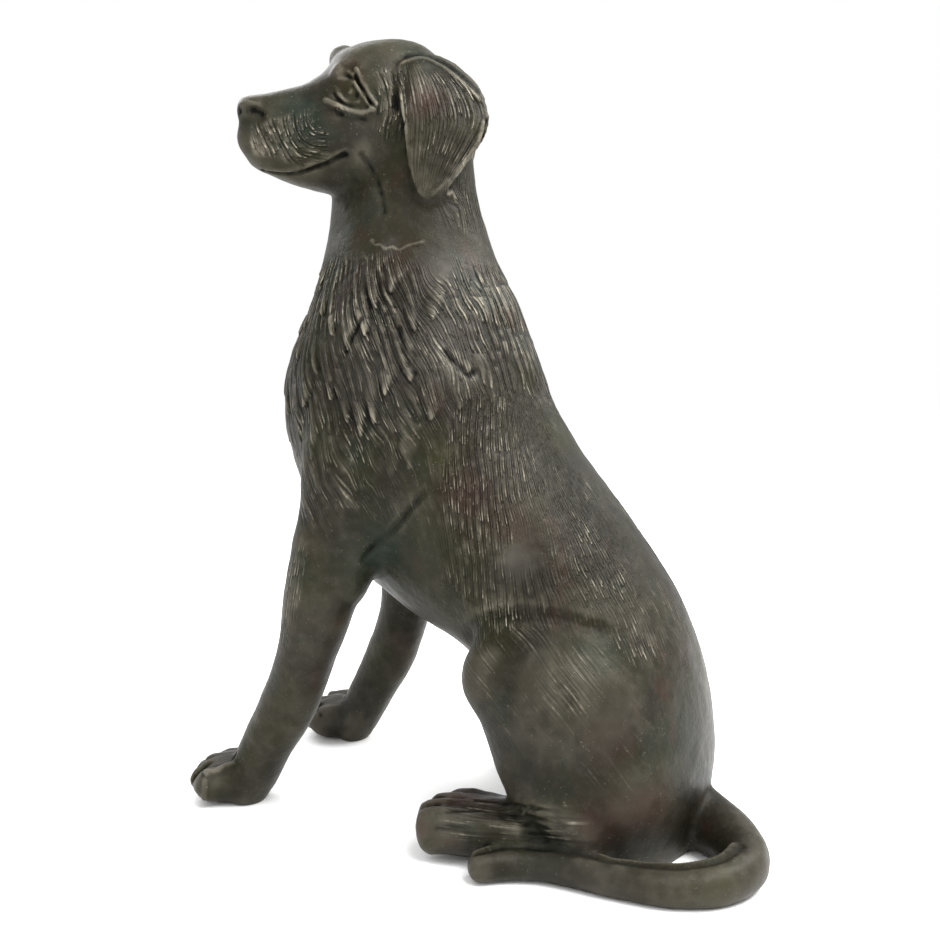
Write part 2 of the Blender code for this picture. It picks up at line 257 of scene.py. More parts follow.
@dataclass(frozen=True)
class Pebble:
    """An ellipsoid: centre and radii."""

    centre: Row
    radii: Row
    turn: float = 0.0

    def skin(self) -> Skin:
        """Rings at even latitudes b: radii times (cos b cos a, cos b sin a, sin b), turned about x.

        Returns:
            The closed surface.
        """
        angle = np.arange(36) / 36 * 2 * math.pi
        rings = [
            np.stack([math.cos(b) * np.cos(angle), math.cos(b) * np.sin(angle), np.full(36, math.sin(b))], 1)
            for b in np.linspace(-math.pi / 2, math.pi / 2, 19)[1:-1]
        ]
        ball = Skin.through([ring * np.asarray(self.radii) for ring in rings])
        return ball.moved(turned(self.turn, "X"), shift=self.centre)


@dataclass(frozen=True)
class Line:
    """A carved or raised line along a smooth way, its half width and its height."""

    way: tuple[Row, ...]
    width: float
    height: float

    def lift(self, points: Array) -> Array:
        """Height times the bell curve of each point's distance from the way.

        Args:
            points: rows of x, y, z.

        Returns:
            One height for each point.
        """
        samples = spline(self.way, 12 * len(self.way))
        lift = np.zeros(len(points))
        reach = 3 * self.width
        near = np.all((points > samples.min(0) - reach) & (points < samples.max(0) + reach), axis=1)
        away = np.linalg.norm(points[near, None] - samples[None], axis=2).min(1)
        lift[near] = self.height * np.exp(-((away / self.width) ** 2))
        return lift


@dataclass(frozen=True)
class Dent:
    """A round hollow or swelling: its centre, radius and height."""

    centre: Row
    radius: float
    height: float

    def lift(self, points: Array) -> Array:
        """Height times the bell curve of each point's distance from the centre."""
        away = np.linalg.norm(points - self.centre, axis=1)
        return self.height * np.exp(-((away / self.radius) ** 2))


def beside(way: tuple[Row, ...], dx: float, dy: float) -> tuple[Row, ...]:
    """The same way moved level by dx and dy."""
    return tuple((x + dx, y + dy, z) for x, y, z in way)


def dents(*rows: Row) -> tuple[Dent, ...]:
    """A round hollow or swelling for each row of centre x, y, z, radius and height."""
    return tuple(Dent(row[:3], *row[3:]) for row in rows)


def strands(s: Array, t: Array, width: float, length: float, seed: int) -> Array:
    """Hair laid in staggered strands, each widest at its root and pointed at its tip.

    s runs across the hair and t along it. A strand's section is 1 less the square of the distance from
    its middle over its half width, which shrinks towards the tip, and it stands highest near the tip.

    Args:
        s: place across the hair of each point.
        t: place along the hair of each point, towards the tips.
        width: mean distance between strands.
        length: mean length of a strand.
        seed: picks another set of strands.

    Returns:
        Height from 0 to 1.
    """
    column = s / width
    middle = np.floor(column)
    key = np.full(len(s), float(seed))
    row = t / length + chance(middle, key)
    cell = np.floor(row)
    along = row - cell
    across = np.abs(column - middle - 0.5) * 2
    body = np.clip(1 - (across / (1.05 - 0.5 * along)) ** 2, 0, 1)
    rise = (0.4 + 0.6 * along) * np.clip((1 - along) / 0.15, 0, 1)
    return body * rise * (0.5 + 0.5 * chance(middle, cell, key))


@dataclass
class Trunk:
    """Rump, belly, chest and neck as one form that leans forward and up."""

    sections: tuple[Row, ...] = (
        (0, 506, 15, 138, 76, 96),
        (0, 496, 112, 164, 94, 117),
        (0, 455, 215, 162, 102, 134),
        (0, 388, 308, 149, 128, 141),
        (0, 306, 392, 151, 168, 154),
        (0, 232, 480, 159, 190, 173),
        (0, 194, 575, 151, 178, 175),
        (0, 186, 665, 127, 120, 160),
        (0, 190, 745, 90, 105, 122),
        (0, 194, 810, 69, 103, 98),
        (0, 196, 870, 60, 84, 90),
    )
    nape: tuple[Row, ...] = (
        (-46, 242, 902, 50, 36, 34),
        (-37, 237, 870, 52, 38, 38),
        (-23, 229, 830, 52, 40, 42),
        (-8, 216, 780, 52, 44, 50),
    )
    nape_side: Row = (0.8, 0.6, 0)
    egg: float = 0.14

    def forms(self) -> list[Skin]:
        """The trunk, and the nape that fills the angle below the turned skull."""
        return [Loft(self.sections, egg=self.egg).skin(), Loft(self.nape, side=self.nape_side).skin()]


@dataclass
class Foreleg:
    """Shoulder, arm, paw and toes of one side. Sizes are those of the left leg."""

    side: Side
    slide: Row
    turn: float
    lean: Row
    shoulder: tuple[Row, ...] = (
        (126, 145, 310, 46, 46, 54),
        (116, 160, 385, 52, 56, 72),
        (106, 182, 470, 56, 78, 86),
        (94, 222, 560, 52, 84, 84),
        (78, 262, 640, 40, 60, 60),
    )
    arm: tuple[Row, ...] = (
        (138, 18, 14, 36, 26, 30),
        (138, 30, 40, 38, 30, 34),
        (139, 57, 85, 36, 36, 33),
        (139, 91, 145, 36, 39, 38),
        (138, 118, 215, 40, 37, 39),
        (134, 136, 285, 44, 45, 49),
        (126, 150, 370, 46, 50, 56),
    )
    paw: tuple[Row, ...] = (
        (141, 26, 28, 36, 28, 30),
        (141, 0, 28, 43, 30, 35),
        (141, -22, 24, 41, 27, 32),
    )
    toe: tuple[Row, ...] = ((0.85, 2, 40, 13, 20, 22), (1, -26, 37, 14, 20, 22), (1, -42, 22, 14, 20, 20))
    toe_places: tuple[Row, ...] = ((-33, 14), (-12, 0), (12, 0), (34, 14))
    toe_gaps: Row = (-23, 0, 23)
    gap_bend: float = 0.3
    gap_cut: Row = (3.2, -9)
    toe_line: tuple[Row, ...] = ((141, 8, 70), (141, -30, 60), (141, -58, 34), (141, -66, 8))
    knuckle: tuple[Row, ...] = ((-9, 22, 44), (0, 15, 48), (9, 22, 44))
    knuckle_cut: Row = (3, -2.5)
    claw: tuple[Row, ...] = ((0, -2, 22), (0, -6, 12))
    claw_rise: Row = (5.5, 3)
    toe_front: float = -58
    creases: tuple[Line, ...] = (
        Line(((166, -45, 46), (178, -30, 51), (183, -12, 53), (176, 2, 57), (172, 22, 61)), 3.4, 4.6),
        Line(((167, -40, 56), (172, -24, 58), (172, -8, 62), (166, 6, 66)), 3.4, -6),
        Line(((183, -22, 48), (187, -24, 34), (186, -26, 16)), 3.6, 3.2),
    )
    middle: Row = (141, 10, 0)
    free_height: float = 300
    free_share: float = 220

    def slid(self, sections: tuple[Row, ...]) -> tuple[Row, ...]:
        """Sections moved by the slide at the paw, and less and less up to the elbow.

        Args:
            sections: the sections of one form of the leg.

        Returns:
            The moved sections.
        """
        shares = [min(1, max(0, (self.free_height - row[2]) / self.free_share)) for row in sections]
        dx, dy = self.slide
        return tuple((row[0] + dx * k, row[1] + dy * k, *row[2:]) for row, k in zip(sections, shares))

    def paw_middle(self) -> Array:
        """The point about which the paw is turned, on the left side."""
        return np.array(self.middle, float) + (*self.slide, 0)

    def forms(self) -> list[Skin]:
        """The leg's overlapping forms, on its own side.

        Returns:
            Shoulder, arm, paw and toes.
        """
        toes = [
            tuple((self.middle[0] + dx * k, y + dy, z, *sizes) for k, y, z, *sizes in self.toe)
            for dx, dy in self.toe_places
        ]
        arm = tuple((row[0], row[1] + back, *row[2:]) for row, back in zip(self.arm, self.lean))
        spin = turned(self.turn, "Z")
        forms = [Loft(self.slid(form)).skin() for form in (self.shoulder, arm)]
        for form in (self.paw, *toes):
            forms.append(Loft(self.slid(form)).skin().moved(spin, self.paw_middle()))
        return forms if self.side is Side.LEFT else [form.mirrored() for form in forms]

    def lift(self, points: Array) -> Array:
        """Height of the grooves between the toes, the creases, the knuckles and the claws.

        Args:
            points: rows of x, y, z.

        Returns:
            One height for each point.
        """
        faced = points * (self.side.value, 1, 1)
        middle = self.paw_middle()
        shift = np.array((*self.slide, 0.0))
        faced = (faced - middle) @ turned(self.turn, "Z") + middle - shift
        lines = list(self.creases)
        for gap in self.toe_gaps:
            lines.append(Line(beside(self.toe_line, gap, self.gap_bend * abs(gap)), *self.gap_cut))
        for dx, dy in self.toe_places:
            x, y = self.middle[0] + dx, self.toe_front + dy
            lines.append(Line(beside(self.knuckle, x, y), *self.knuckle_cut))
            lines.append(Line(beside(self.claw, x, y), *self.claw_rise))
        return sum(line.lift(faced) for line in lines)


@dataclass
class Hindleg:
    """Thigh, knee, shin, foot and toes of one side. Sizes are those of the left leg."""

    side: Side
    thigh: Pebble = Pebble((110, 462, 188), (82, 106, 114), 12)
    knee: Pebble = Pebble((128, 398, 216), (52, 58, 62), 20)
    shin: tuple[Row, ...] = (
        (120, 500, 25, 38, 40, 44),
        (130, 488, 64, 42, 48, 52),
        (132, 450, 125, 46, 66, 60),
        (128, 428, 200, 46, 70, 66),
    )
    foot: tuple[Row, ...] = (
        (106, 520, 34, 36, 30, 38),
        (126, 450, 34, 39, 32, 38),
        (142, 386, 33, 41, 32, 39),
        (151, 331, 31, 43, 30, 38),
    )
    toe: tuple[Row, ...] = (
        (-16, 420, 38, 11, 16, 24),
        (-8, 372, 38, 14, 22, 29),
        (-2, 332, 38, 16, 26, 33),
        (2, 311, 35, 15, 28, 32),
    )
    toe_places: tuple[Row, ...] = ((-33, 16), (-12, 2), (12, -1), (34, 8))
    toe_gaps: Row = (-23, 0, 23)
    gap_bend: float = 0.3
    gap_cut: Row = (3.5, -8)
    toe_line: tuple[Row, ...] = ((151, 356, 76), (151, 318, 68), (151, 300, 36), (151, 298, 10))
    toe_middle: float = 152
    stroke_cuts: tuple[Row, ...] = ((2.4, -2.04), (2.4, -2.04), (2.4, -2.04), (2.2, -1.7))
    stroke_ways: tuple[tuple[Row, ...], ...] = (
        ((193, 334, 63), (181, 360, 66), (166, 385, 64), (161, 415, 64), (168, 449, 70), (173, 481, 72)),
        ((199, 337, 49), (191, 364, 52), (178, 390, 51), (171, 419, 50), (165, 448, 49), (169, 480, 52)),
        ((152, 366, 69), (148, 396, 71), (164, 429, 79), (174, 464, 85), (171, 495, 83)),
        ((166, 404, 61), (164, 431, 57), (168, 461, 60), (171, 491, 62)),
    )
    stroke_start: Row = (320, 365)
    stroke_end: Row = (425, 500)

    def forms(self) -> list[Skin]:
        """The leg's overlapping forms, on its own side.

        Returns:
            Thigh, knee, shin, foot and toes.
        """
        toes = [
            tuple((self.toe_middle + dx + x, y + dy, *sizes) for x, y, *sizes in self.toe)
            for dx, dy in self.toe_places
        ]
        forms = [self.thigh.skin(), self.knee.skin()]
        forms += [Loft(form).skin() for form in (self.shin, self.foot, *toes)]
        return forms if self.side is Side.LEFT else [form.mirrored() for form in forms]

    def lift(self, points: Array) -> Array:
        """Height of the strokes along the foot, faded at both ends, and of the grooves between the toes.

        Args:
            points: rows of x, y, z.

        Returns:
            One height for each point.
        """
        faced = points * (self.side.value, 1, 1)
        faded = ramp(faced[:, 1], *self.stroke_start) * (1 - ramp(faced[:, 1], *self.stroke_end))
        strokes = (Line(way, *cut) for way, cut in zip(self.stroke_ways, self.stroke_cuts))
        ways = (beside(self.toe_line, gap, self.gap_bend * abs(gap)) for gap in self.toe_gaps)
        grooves = sum(Line(way, *self.gap_cut).lift(faced) for way in ways)
        return faded * sum(stroke.lift(faced) for stroke in strokes) + grooves


@dataclass
class Tail:
    """The tail, thick at the root, round to the dog's left and flat at its cut tip."""

    sections: tuple[Row, ...] = (
        (2, 545, 54, 38, 38, 38),
        (8, 590, 42, 39, 39, 39),
        (18, 622, 34, 36, 36, 36),
        (38, 648, 30, 33, 33, 33),
        (66, 668, 26, 30, 30, 30),
        (102, 676, 24, 27, 27, 27),
        (142, 657, 22, 25, 25, 25),
        (168, 615, 20, 23, 23, 23),
        (175, 560, 19, 21, 21, 21),
        (174, 505, 19, 20, 20, 20),
        (177, 462, 19, 19, 19, 19),
        (192, 424, 19, 19, 19, 19),
        (214, 395, 18, 18, 18, 18),
    )
    ridge_first: int = 5

    def forms(self) -> list[Skin]:
        """The one form of the tail."""
        return [Loft(self.sections, side=(0, 0, 1)).skin()]

    def lift(self, points: Array) -> Array:
        """A soft edge along the top of the tail, on its outer side.

        Args:
            points: rows of x, y, z.

        Returns:
            One height for each point.
        """
        rows = np.asarray(self.sections, float)[self.ridge_first :]
        heading = unit(np.gradient(rows[:, :3], axis=0))
        outward = unit(np.cross(heading, (0, 0, 1)))
        crest = rows[:, :3] + rows[:, 3:4] * (0.55 * outward + (0, 0, 0.84))
        under = rows[:, :3] + rows[:, 3:4] * (0.99 * outward + (0, 0, 0.25))
        above = rows[:, :3] + rows[:, 3:4] * (0.1 * outward + (0, 0, 0.99))
        ways = ((crest, 4.2, 3.6), (under, 8, -1.6), (above, 5, -2.4))
        return sum(Line(tuple(map(tuple, way)), width, height).lift(points) for way, width, height in ways)


@dataclass
class Head:
    """Skull, muzzle and face on a turned and tilted neck, with ears that hang straight."""

    pivot: Row = (0, 185, 880)
    turn: float = 37.0
    tilt: float = 13.0
    skull: tuple[Row, ...] = (
        (0, 84, 24, 36, 52, 34),
        (0, 60, 27, 53, 75, 60),
        (0, 18, 28, 65, 88, 92),
        (0, -36, 22, 63, 92, 93),
        (0, -68, 12, 53, 90, 77),
        (0, -93, 6, 47, 86, 66),
        (0, -112, 2, 43, 75, 61),
        (0, -151, 0, 38, 60, 53),
        (0, -174, -1, 33, 48, 49),
        (0, -186, 2, 26, 33, 42),
    )
    skull_egg: float = -0.1
    skull_square: float = 2.15
    nose: tuple[Row, ...] = ((0, -148, 29, 21, 20, 21), (0, -174, 28, 23, 20, 19), (0, -196, 27, 21, 19, 17))
    nose_square: float = 2.8
    brow: Pebble = Pebble((29, -68, 75), (17, 25, 18))
    far_brow: Pebble = Pebble((-29, -69, 92), (15, 22, 20))
    cheek: Pebble = Pebble((38, -34, -14), (26, 46, 40))
    ear: tuple[Row, ...] = (
        (55, 15, 84, 21, 12, 11),
        (62, 28, 70, 37, 11, 12),
        (71, 42, 44, 52, 10, 12),
        (79, 49, 12, 58, 9, 12),
        (86, 40, -20, 49, 9, 12),
        (92, 30, -48, 37, 9, 11),
        (97, 23, -72, 24, 8, 10),
        (98, 18, -84, 12, 7, 8),
    )
    far_ear_shift: Row = (24, -2, 25)
    whisker_centre: Row = (-100, 26)
    face: tuple[Line, ...] = (
        Line(((42, -72, 82), (46, -72, 68), (49, -67, 54)), 11, -6.5),
        Line(
            ((40, -86, 60), (42, -85, 55), (44, -80, 49), (47, -75, 45), (49, -68, 43), (53, -59, 45)),
            2.0,
            3.0,
        ),
        Line(((39, -89, 53), (43, -83, 45), (47, -75, 40), (50, -67, 38), (54, -57, 39)), 2.2, -2.2),
        Line(((39, -82, 71), (43, -76, 70), (46, -69, 69), (49, -62, 62), (52, -57, 52)), 2.4, 2.4),
        Line(((42, -62, 83), (45, -56, 71), (49, -51, 64), (55, -46, 53), (59, -38, 43)), 2.6, 4.6),
        Line(((45, -62, 76), (49, -59, 66), (53, -52, 56), (58, -45, 44)), 1.9, -4.6),
        Line(((48, -64, 68), (52, -58, 58), (56, -51, 47), (59, -44, 38)), 1.9, 2.8),
        Line(
            ((39, -98, 43), (43, -89, 41), (48, -75, 36), (52, -66, 33), (56, -56, 32), (60, -42, 36)),
            3.4,
            4.0,
        ),
        Line(((40, -92, 31), (46, -80, 28), (52, -68, 25), (57, -52, 24)), 4.0, -2.4),
        Line(((13, -176, -46), (18, -171, -48), (30, -141, -48), (42, -104, -35), (50, -74, -19)), 2.7, -4.8),
        Line(((19, -171, -42), (31, -141, -42), (43, -104, -29), (51, -76, -13)), 4.0, 1.2),
        Line(((17, -170, 20), (19, -180, 13), (14, -192, 9), (0, -202, 8)), 2.4, -2.8),
        Line(((0, -206, 12), (0, -198, -8), (0, -190, -30)), 2.4, -3.5),
        Line(((17, -192, 27), (21, -184, 28), (24, -176, 25)), 4.4, -4.6),
        Line(((13, -200, 34), (19, -190, 36), (25, -176, 34)), 2.4, 2.2),
        Line(((12, -199, 4), (15, -194, -12), (19, -187, -24)), 2.6, -3.0),
        Line(((62, -56, -18), (61, -41, -37), (80, -33, -62), (97, -30, -84)), 3.4, -1.8),
    )
    dents: tuple[Dent, ...] = dents(
        (49, -69, 57, 7.8, 6.2), (50, -73, 58, 2.8, -3.0), (44, -66, 77, 4.2, 3.0), (12, -202, 26, 4.2, -5.0)
    )
    ear_face: Row = (-6, 2)
    ear_rim: Row = (-0.98, -0.8)
    ear_tip: Row = (-92, -80)
    ear_root: Row = (-98, -62)
    unevenness: float = 0.65
    uneven_size: float = 9
    face_reach: float = 260
    midline: float = 4
    ear_lines: tuple[Line, ...] = (
        Line(
            ((60, -12, 78), (68, -14, 44), (76, -15, 12), (82, -14, -20), (88, -13, -48), (93, -8, -74)),
            3.4,
            -7,
        ),
        Line(
            (
                (60, -6, 72), (71, -6, 44), (80, -5, 12), (88, -4, -19),
                (94, -4, -45), (100, 2, -70), (103, 12, -86),
            ),
            3,
            3.2,
        ),
        Line(
            (
                (65, -12, 65), (65, -5, 78), (66, 6, 83), (67, 21, 86),
                (69, 35, 81), (75, 59, 65), (81, 89, 36),
            ),
            2.6,
            2.4,
        ),
        Line(((61, -12, 78), (61, 4, 91), (62, 22, 94), (65, 38, 88), (70, 62, 73), (75, 88, 46)), 3.2, -3.4),
        Line(((84, 102, 10), (88, 92, -22), (91, 72, -50), (93, 54, -74)), 4.5, -6),
        Line(((88, 95, 8), (95, 84, -20), (101, 65, -46), (105, 44, -68), (105, 26, -84)), 2.8, 2.2),
    )

    def forms(self) -> list[Skin]:
        """The head's overlapping forms in place on the neck.

        Returns:
            Skull, cheeks, nose, brows and ears.
        """
        cheek = self.cheek.skin()
        skull = Loft(self.skull, egg=self.skull_egg, square=self.skull_square).skin()
        nose = Loft(self.nose, square=self.nose_square).skin()
        tilted = [skull, cheek, cheek.mirrored(), nose, self.brow.skin(), self.far_brow.skin()]
        tilted = [form.moved(turned(self.tilt, "Y")) for form in tilted]
        ear = Loft(self.ear, side=(0, 1, 0)).skin()
        far = ear.mirrored().moved(np.eye(3), shift=self.far_ear_shift)
        return [form.moved(turned(self.turn, "Z"), shift=self.pivot) for form in (*tilted, ear, far)]

    def hanging(self, points: Array) -> Array:
        """Points seen from the head as if it were turned forward, but still tilted."""
        return (points - self.pivot) @ turned(self.turn, "Z")

    def level(self, points: Array) -> Array:
        """Points seen from the head as if it were turned forward and level."""
        return self.hanging(points) @ turned(self.tilt, "Y")

    def by_ear(self, points: Array, side: Side) -> Array:
        """Points seen from the left ear's place, for the ear of either side."""
        hung = self.hanging(points)
        return hung if side is Side.LEFT else (hung - self.far_ear_shift) * (-1, 1, 1)

    def lift(self, points: Array) -> Array:
        """Height of the carved face and of the ears' rims.

        Args:
            points: rows of x, y, z.

        Returns:
            One height for each point.
        """
        total = np.zeros(len(points))
        level = self.level(points)
        for side in Side:
            faced = level * (side.value, 1, 1)
            half = np.flatnonzero(
                (faced[:, 0] > -self.midline) & (np.linalg.norm(faced, axis=1) < self.face_reach)
            )
            near = faced[half]
            uneven = 1 + self.unevenness * cloudy(near, self.uneven_size, 13)
            total[half] += uneven * sum(mark.lift(near) for mark in (*self.face, *self.dents))
            eared = self.by_ear(points, side)
            total += sum(line.lift(eared) for line in self.ear_lines)
        return total

    def ear_place(self, points: Array, side: Side) -> tuple[Array, Array, Array]:
        """Where points lie on an ear.

        The height gives the ear's middle, half width and outer face there by interpolation, and the place
        across is the distance from the middle over the half width.

        Args:
            points: rows of x, y, z.
            side: which ear.

        Returns:
            Place across from -1 to 1, height, and a weight that is 1 on the ear's outer face.
        """
        x, y, z = self.by_ear(points, side).T
        rows = spline(self.ear, 60)[::-1]
        middle, half, outer = (np.interp(z, rows[:, 2], rows[:, k]) for k in (1, 3, 0))
        across = (y - middle) / np.maximum(half, 12)
        weight = ramp(x - outer, *self.ear_face) * ramp(-np.abs(across), *self.ear_rim)
        weight *= ramp(z, *self.ear_tip) * ramp(-z - 0.35 * y, *self.ear_root)
        return across, z, weight


@dataclass(frozen=True)
class Tuft:
    """Strands thick enough to be cut into the mesh along a flow, with their height."""

    flow: Flow
    width: float
    length: float
    height: float
    seed: int


@dataclass
class Coat:
    """The dog's hair: which way it lies, how thick it is and how it is cut into the metal.

    Two numbers are the low and the high limit of a rise, and two such pairs are a rise and a fall. Values
    named side, aside or ahead are distances from the middle plane or along the face, and those named turn
    are angles about an upright axis, 0 in front.
    """

    head: Head
    chest_axis: float = 200
    back_axis: float = 330
    radius: float = 150
    back_radius: float = 200
    locks_rise: Row = (450, 530)
    locks_fall: Row = (721, 691)
    locks_turn: Row = (2.5, 2.0)
    lock_width: float = 50
    lock_length: float = 105
    lock_depth: float = 4.6
    lock_pull: float = 3.5
    tufts: tuple[Tuft, ...] = (
        Tuft(Flow.COAT, 14, 66, 2.6, 1),
        Tuft(Flow.BACK, 13, 40, 1.0, 3),
        Tuft(Flow.THIGH, 12, 150, 0.5, 5),
        Tuft(Flow.EAR, 13, 60, 0.9, 8),
        Tuft(Flow.CURL, 13, 26, 1.0, 9),
        Tuft(Flow.MUZZLE, 13, 34, 1.0, 10),
    )
    bald: tuple[Dent, ...] = dents(
        (78, 285, 705, 26, 1),
        (143, 409, 364, 24, 1),
        (130, 430, 378, 18, 1),
        (150, 292, 436, 34, 0.7),
        (141, 219, 372, 44, 0.8),
    )
    wander: tuple[Row, ...] = ((5, 46, 1), (1.4, 21, 2))
    stray: Row = (12, 60, 3)
    patch_size: float = 62
    patch_rise: Row = (-0.45, 0.15)
    head_clear: Row = (-135, -108)
    shear_level: float = 600
    shear_turn: tuple[Row, Row] = ((0.2, 1.4), (1.9, 3.0))
    chest_rise: Row = (340, 430)
    chest_full: Row = (490, 570)
    chest_thin: Row = (700, 724)
    chest_end: Row = (732, 744)
    nape_heights: tuple[Row, Row] = ((730, 775), (830, 860))
    nape_turn: Row = (2.35, 2.6)
    back_start: Row = (300, 350)
    back_end: Row = (520, 580)
    flank_rise: Row = (236, 280)
    spine_turn: Row = (2.6, 3.0)
    thigh_middle: Row = (455, 248)
    thigh_size: Row = (118, 58)
    thigh_rim: Row = (-1.15, -0.6)
    thigh_aside: Row = (92, 120)
    thigh_across: Row = (0.66, 0.75)
    faint_rise: Row = (80, 130)
    faint_span: tuple[Row, Row] = ((360, 410), (560, 600))
    rump_rise: Row = (90, 150)
    foot_way: tuple[Row, Row] = ((311, 386, 450, 520), (151, 142, 126, 106))
    foot_span: tuple[Row, Row] = ((300, 390), (470, 560))
    foot_top: Row = (78, 112)
    foot_aside: Row = (62, 84)
    foot_middle: float = 28
    foot_radius: float = 42
    tail_middle: float = 19
    tail_clear: Row = (-30, -24)
    tail_way: tuple[Row, Row] = ((395, 424, 462, 560, 615), (214, 192, 177, 175, 168))
    leg_way: tuple[Row, Row] = ((14, 85, 145, 215, 285, 370), (18, 57, 91, 118, 136, 150))
    leg_span: tuple[Row, Row] = ((200, 290), (330, 420))
    leg_behind: Row = (-20, 10)
    leg_middle: float = 138
    leg_radius: float = 38
    ear_width: float = 52
    muzzle_side: Row = (14, 22)
    muzzle_ring: tuple[Row, Row] = ((10, 22), (118, 128))
    muzzle_low: Row = (-38, -26)
    muzzle_top: Row = (26, 40)
    muzzle_ahead: tuple[Row, Row] = ((62, 82), (184, 194))
    muzzle_turn: Row = (1.45, 1.9)
    muzzle_patches: Row = (-0.4, 0.2)
    lip_ahead: Row = (44, 64)
    lip_height: Row = (-34, -10)
    temple_back: tuple[Row, Row] = ((-42, -32), (-8, 2))
    temple_side: Row = (38, 46)
    temple_height: tuple[Row, Row] = ((-8, 14), (74, 90))
    strand_sizes: tuple[Row, ...] = (
        (4.8, 40),
        (4.6, 26),
        (5, 110),
        (5, 60),
        (5, 30),
        (5.5, 46),
        (5.5, 30),
        (7, 20),
        (9, 30),
    )

    def fields(self, points: Array) -> dict[Flow, Lie]:
        """The lie of the hair by each flow, all of them waved alike.

        Args:
            points: rows of x, y, z.

        Returns:
            The lie of the hair by each flow, in the order of Flow.
        """
        wander = sum(far * cloudy(points, size, seed) for far, size, seed in self.wander)
        far, size, seed = self.stray
        stray = far * cloudy(points, size, seed)
        patches = ramp(cloudy(points, self.patch_size, 4), *self.patch_rise)
        lies = (
            self.chest(points, patches),
            self.back(points, patches),
            self.thigh(points, patches, wander),
            self.foot(points, wander),
            self.leg(points, patches),
            self.ears(points, patches, wander),
            self.muzzle(points, wander),
            self.temple(points, wander),
            (self.radius * self.round_back(points), -points[:, 2], np.full(len(points), 0.04)),
        )
        return {flow: (s + wander, t + stray, weight) for flow, (s, t, weight) in zip(Flow, lies)}

    def bare(self, points: Array) -> Array:
        """How far the hair is worn off, in round places alike on both sides."""
        sided = np.abs(points * (1, 0, 0)) + points * (0, 1, 1)
        return np.clip(sum(dent.lift(sided) for dent in self.bald), 0, 1)

    def round_back(self, points: Array) -> Array:
        """The angle about an upright axis in the rump, from the front."""
        return np.arctan2(np.abs(points[:, 0]), self.back_axis - points[:, 1])

    def in_thigh(self, points: Array) -> Array:
        """A weight that is 1 in the middle of the thigh's upper half."""
        oval = np.hypot(*((points[:, 1:] - self.thigh_middle) / self.thigh_size).T)
        return 0.8 * ramp(-oval, *self.thigh_rim) * ramp(np.abs(points[:, 0]), *self.thigh_aside)

    def chest(self, points: Array, patches: Array) -> Lie:
        """Hair of chest, shoulders and nape, drawn to the locks' middles.

        The place across is the angle about an upright axis times a radius, with a shear that makes the
        shoulder's hair run back as it falls.

        Args:
            points: rows of x, y, z.
            patches: how thick the hair is in patches, from 0 to 1.

        Returns:
            The lie.
        """
        x, y, z = points.T
        turn = np.arctan2(np.abs(x), self.chest_axis - y)
        shear = 0.5 * band(turn, *self.shear_turn) * (z - self.shear_level)
        upper = z + self.ragged(points)
        chest = ramp(z, *self.chest_rise) * (0.35 + 0.65 * ramp(z, *self.chest_full))
        chest *= (1 - 0.85 * ramp(upper, *self.chest_thin)) * (1 - ramp(upper, *self.chest_end))
        nape = 0.7 * band(z, *self.nape_heights) * ramp(turn, *self.nape_turn)
        away, along = self.cells(points, 0.0)
        pull = self.lock_pull * np.sin(2 * math.pi * away) * np.sin(math.pi * along**1.5) * np.sign(x)
        back = ramp(y, *self.back_start) * (1 - ramp(z, *self.back_end))
        headed = ramp(-np.linalg.norm(self.head.level(points) * (1, 1, 1.2), axis=1), *self.head_clear)
        coat = (chest + nape) * (1 - back) * (1 - headed) * (0.5 + 0.5 * patches) * (1 - self.bare(points))
        return self.radius * turn + shear + pull, -z, coat

    def back(self, points: Array, patches: Array) -> Lie:
        """Short hair of back and flank, by the angle about the rump's axis times a radius.

        Args:
            points: rows of x, y, z.
            patches: how thick the hair is in patches, from 0 to 1.

        Returns:
            The lie.
        """
        y, z = points[:, 1], points[:, 2]
        turn = self.round_back(points)
        high = ramp(z, *self.flank_rise)
        spined = 1 - 0.7 * ramp(turn, *self.spine_turn)
        flank = high * (1 - self.in_thigh(points)) * (0.25 + 0.75 * patches) * spined
        flank = flank * (1 - self.bare(points))
        back = ramp(y, *self.back_start) * (1 - ramp(z, *self.back_end))
        weight = back * (flank + 0.08 * ramp(z, *self.rump_rise) * (1 - high))
        return self.back_radius * turn + 0.15 * z, -z, weight

    def thigh(self, points: Array, patches: Array, wander: Array) -> Lie:
        """Long strokes that slant down and back over the thigh, bent a little by a square law.

        Args:
            points: rows of x, y, z.
            patches: how thick the hair is in patches, from 0 to 1.
            wander: how far the hair wanders sideways.

        Returns:
            The lie.
        """
        y, z = points[:, 1], points[:, 2]
        thigh_y, thigh_z = y - self.thigh_middle[0], z - self.thigh_middle[1]
        less, more = self.thigh_across
        across = less * thigh_y + more * thigh_z
        along = more * thigh_y - less * thigh_z
        low = band(z, self.faint_rise, self.flank_rise)
        faint = 0.12 * low * band(y, *self.faint_span) * patches
        weight = np.maximum(0.34 * self.in_thigh(points) * (0.35 + 0.65 * patches), faint)
        return across + 0.0011 * along**2 - 0.6 * wander, along, weight

    def foot(self, points: Array, wander: Array) -> Lie:
        """Strokes along the hind foot, by the angle about its middle, with none on the tail beside it.

        Args:
            points: rows of x, y, z.
            wander: how far the hair wanders sideways.

        Returns:
            The lie.
        """
        x, y, z = points.T
        aside = np.abs(x)
        footed = (1 - ramp(z, *self.foot_top)) * ramp(aside, *self.foot_aside) * band(y, *self.foot_span)
        from_tail = np.hypot(aside - np.interp(y, *self.tail_way), z - self.tail_middle)
        tail = ramp(-from_tail, *self.tail_clear)
        angle = np.arctan2(aside - np.interp(y, *self.foot_way), z - self.foot_middle)
        return self.foot_radius * angle - 0.8 * wander, -y, 0.3 * footed * (1 - 0.9 * tail * (x > 0))

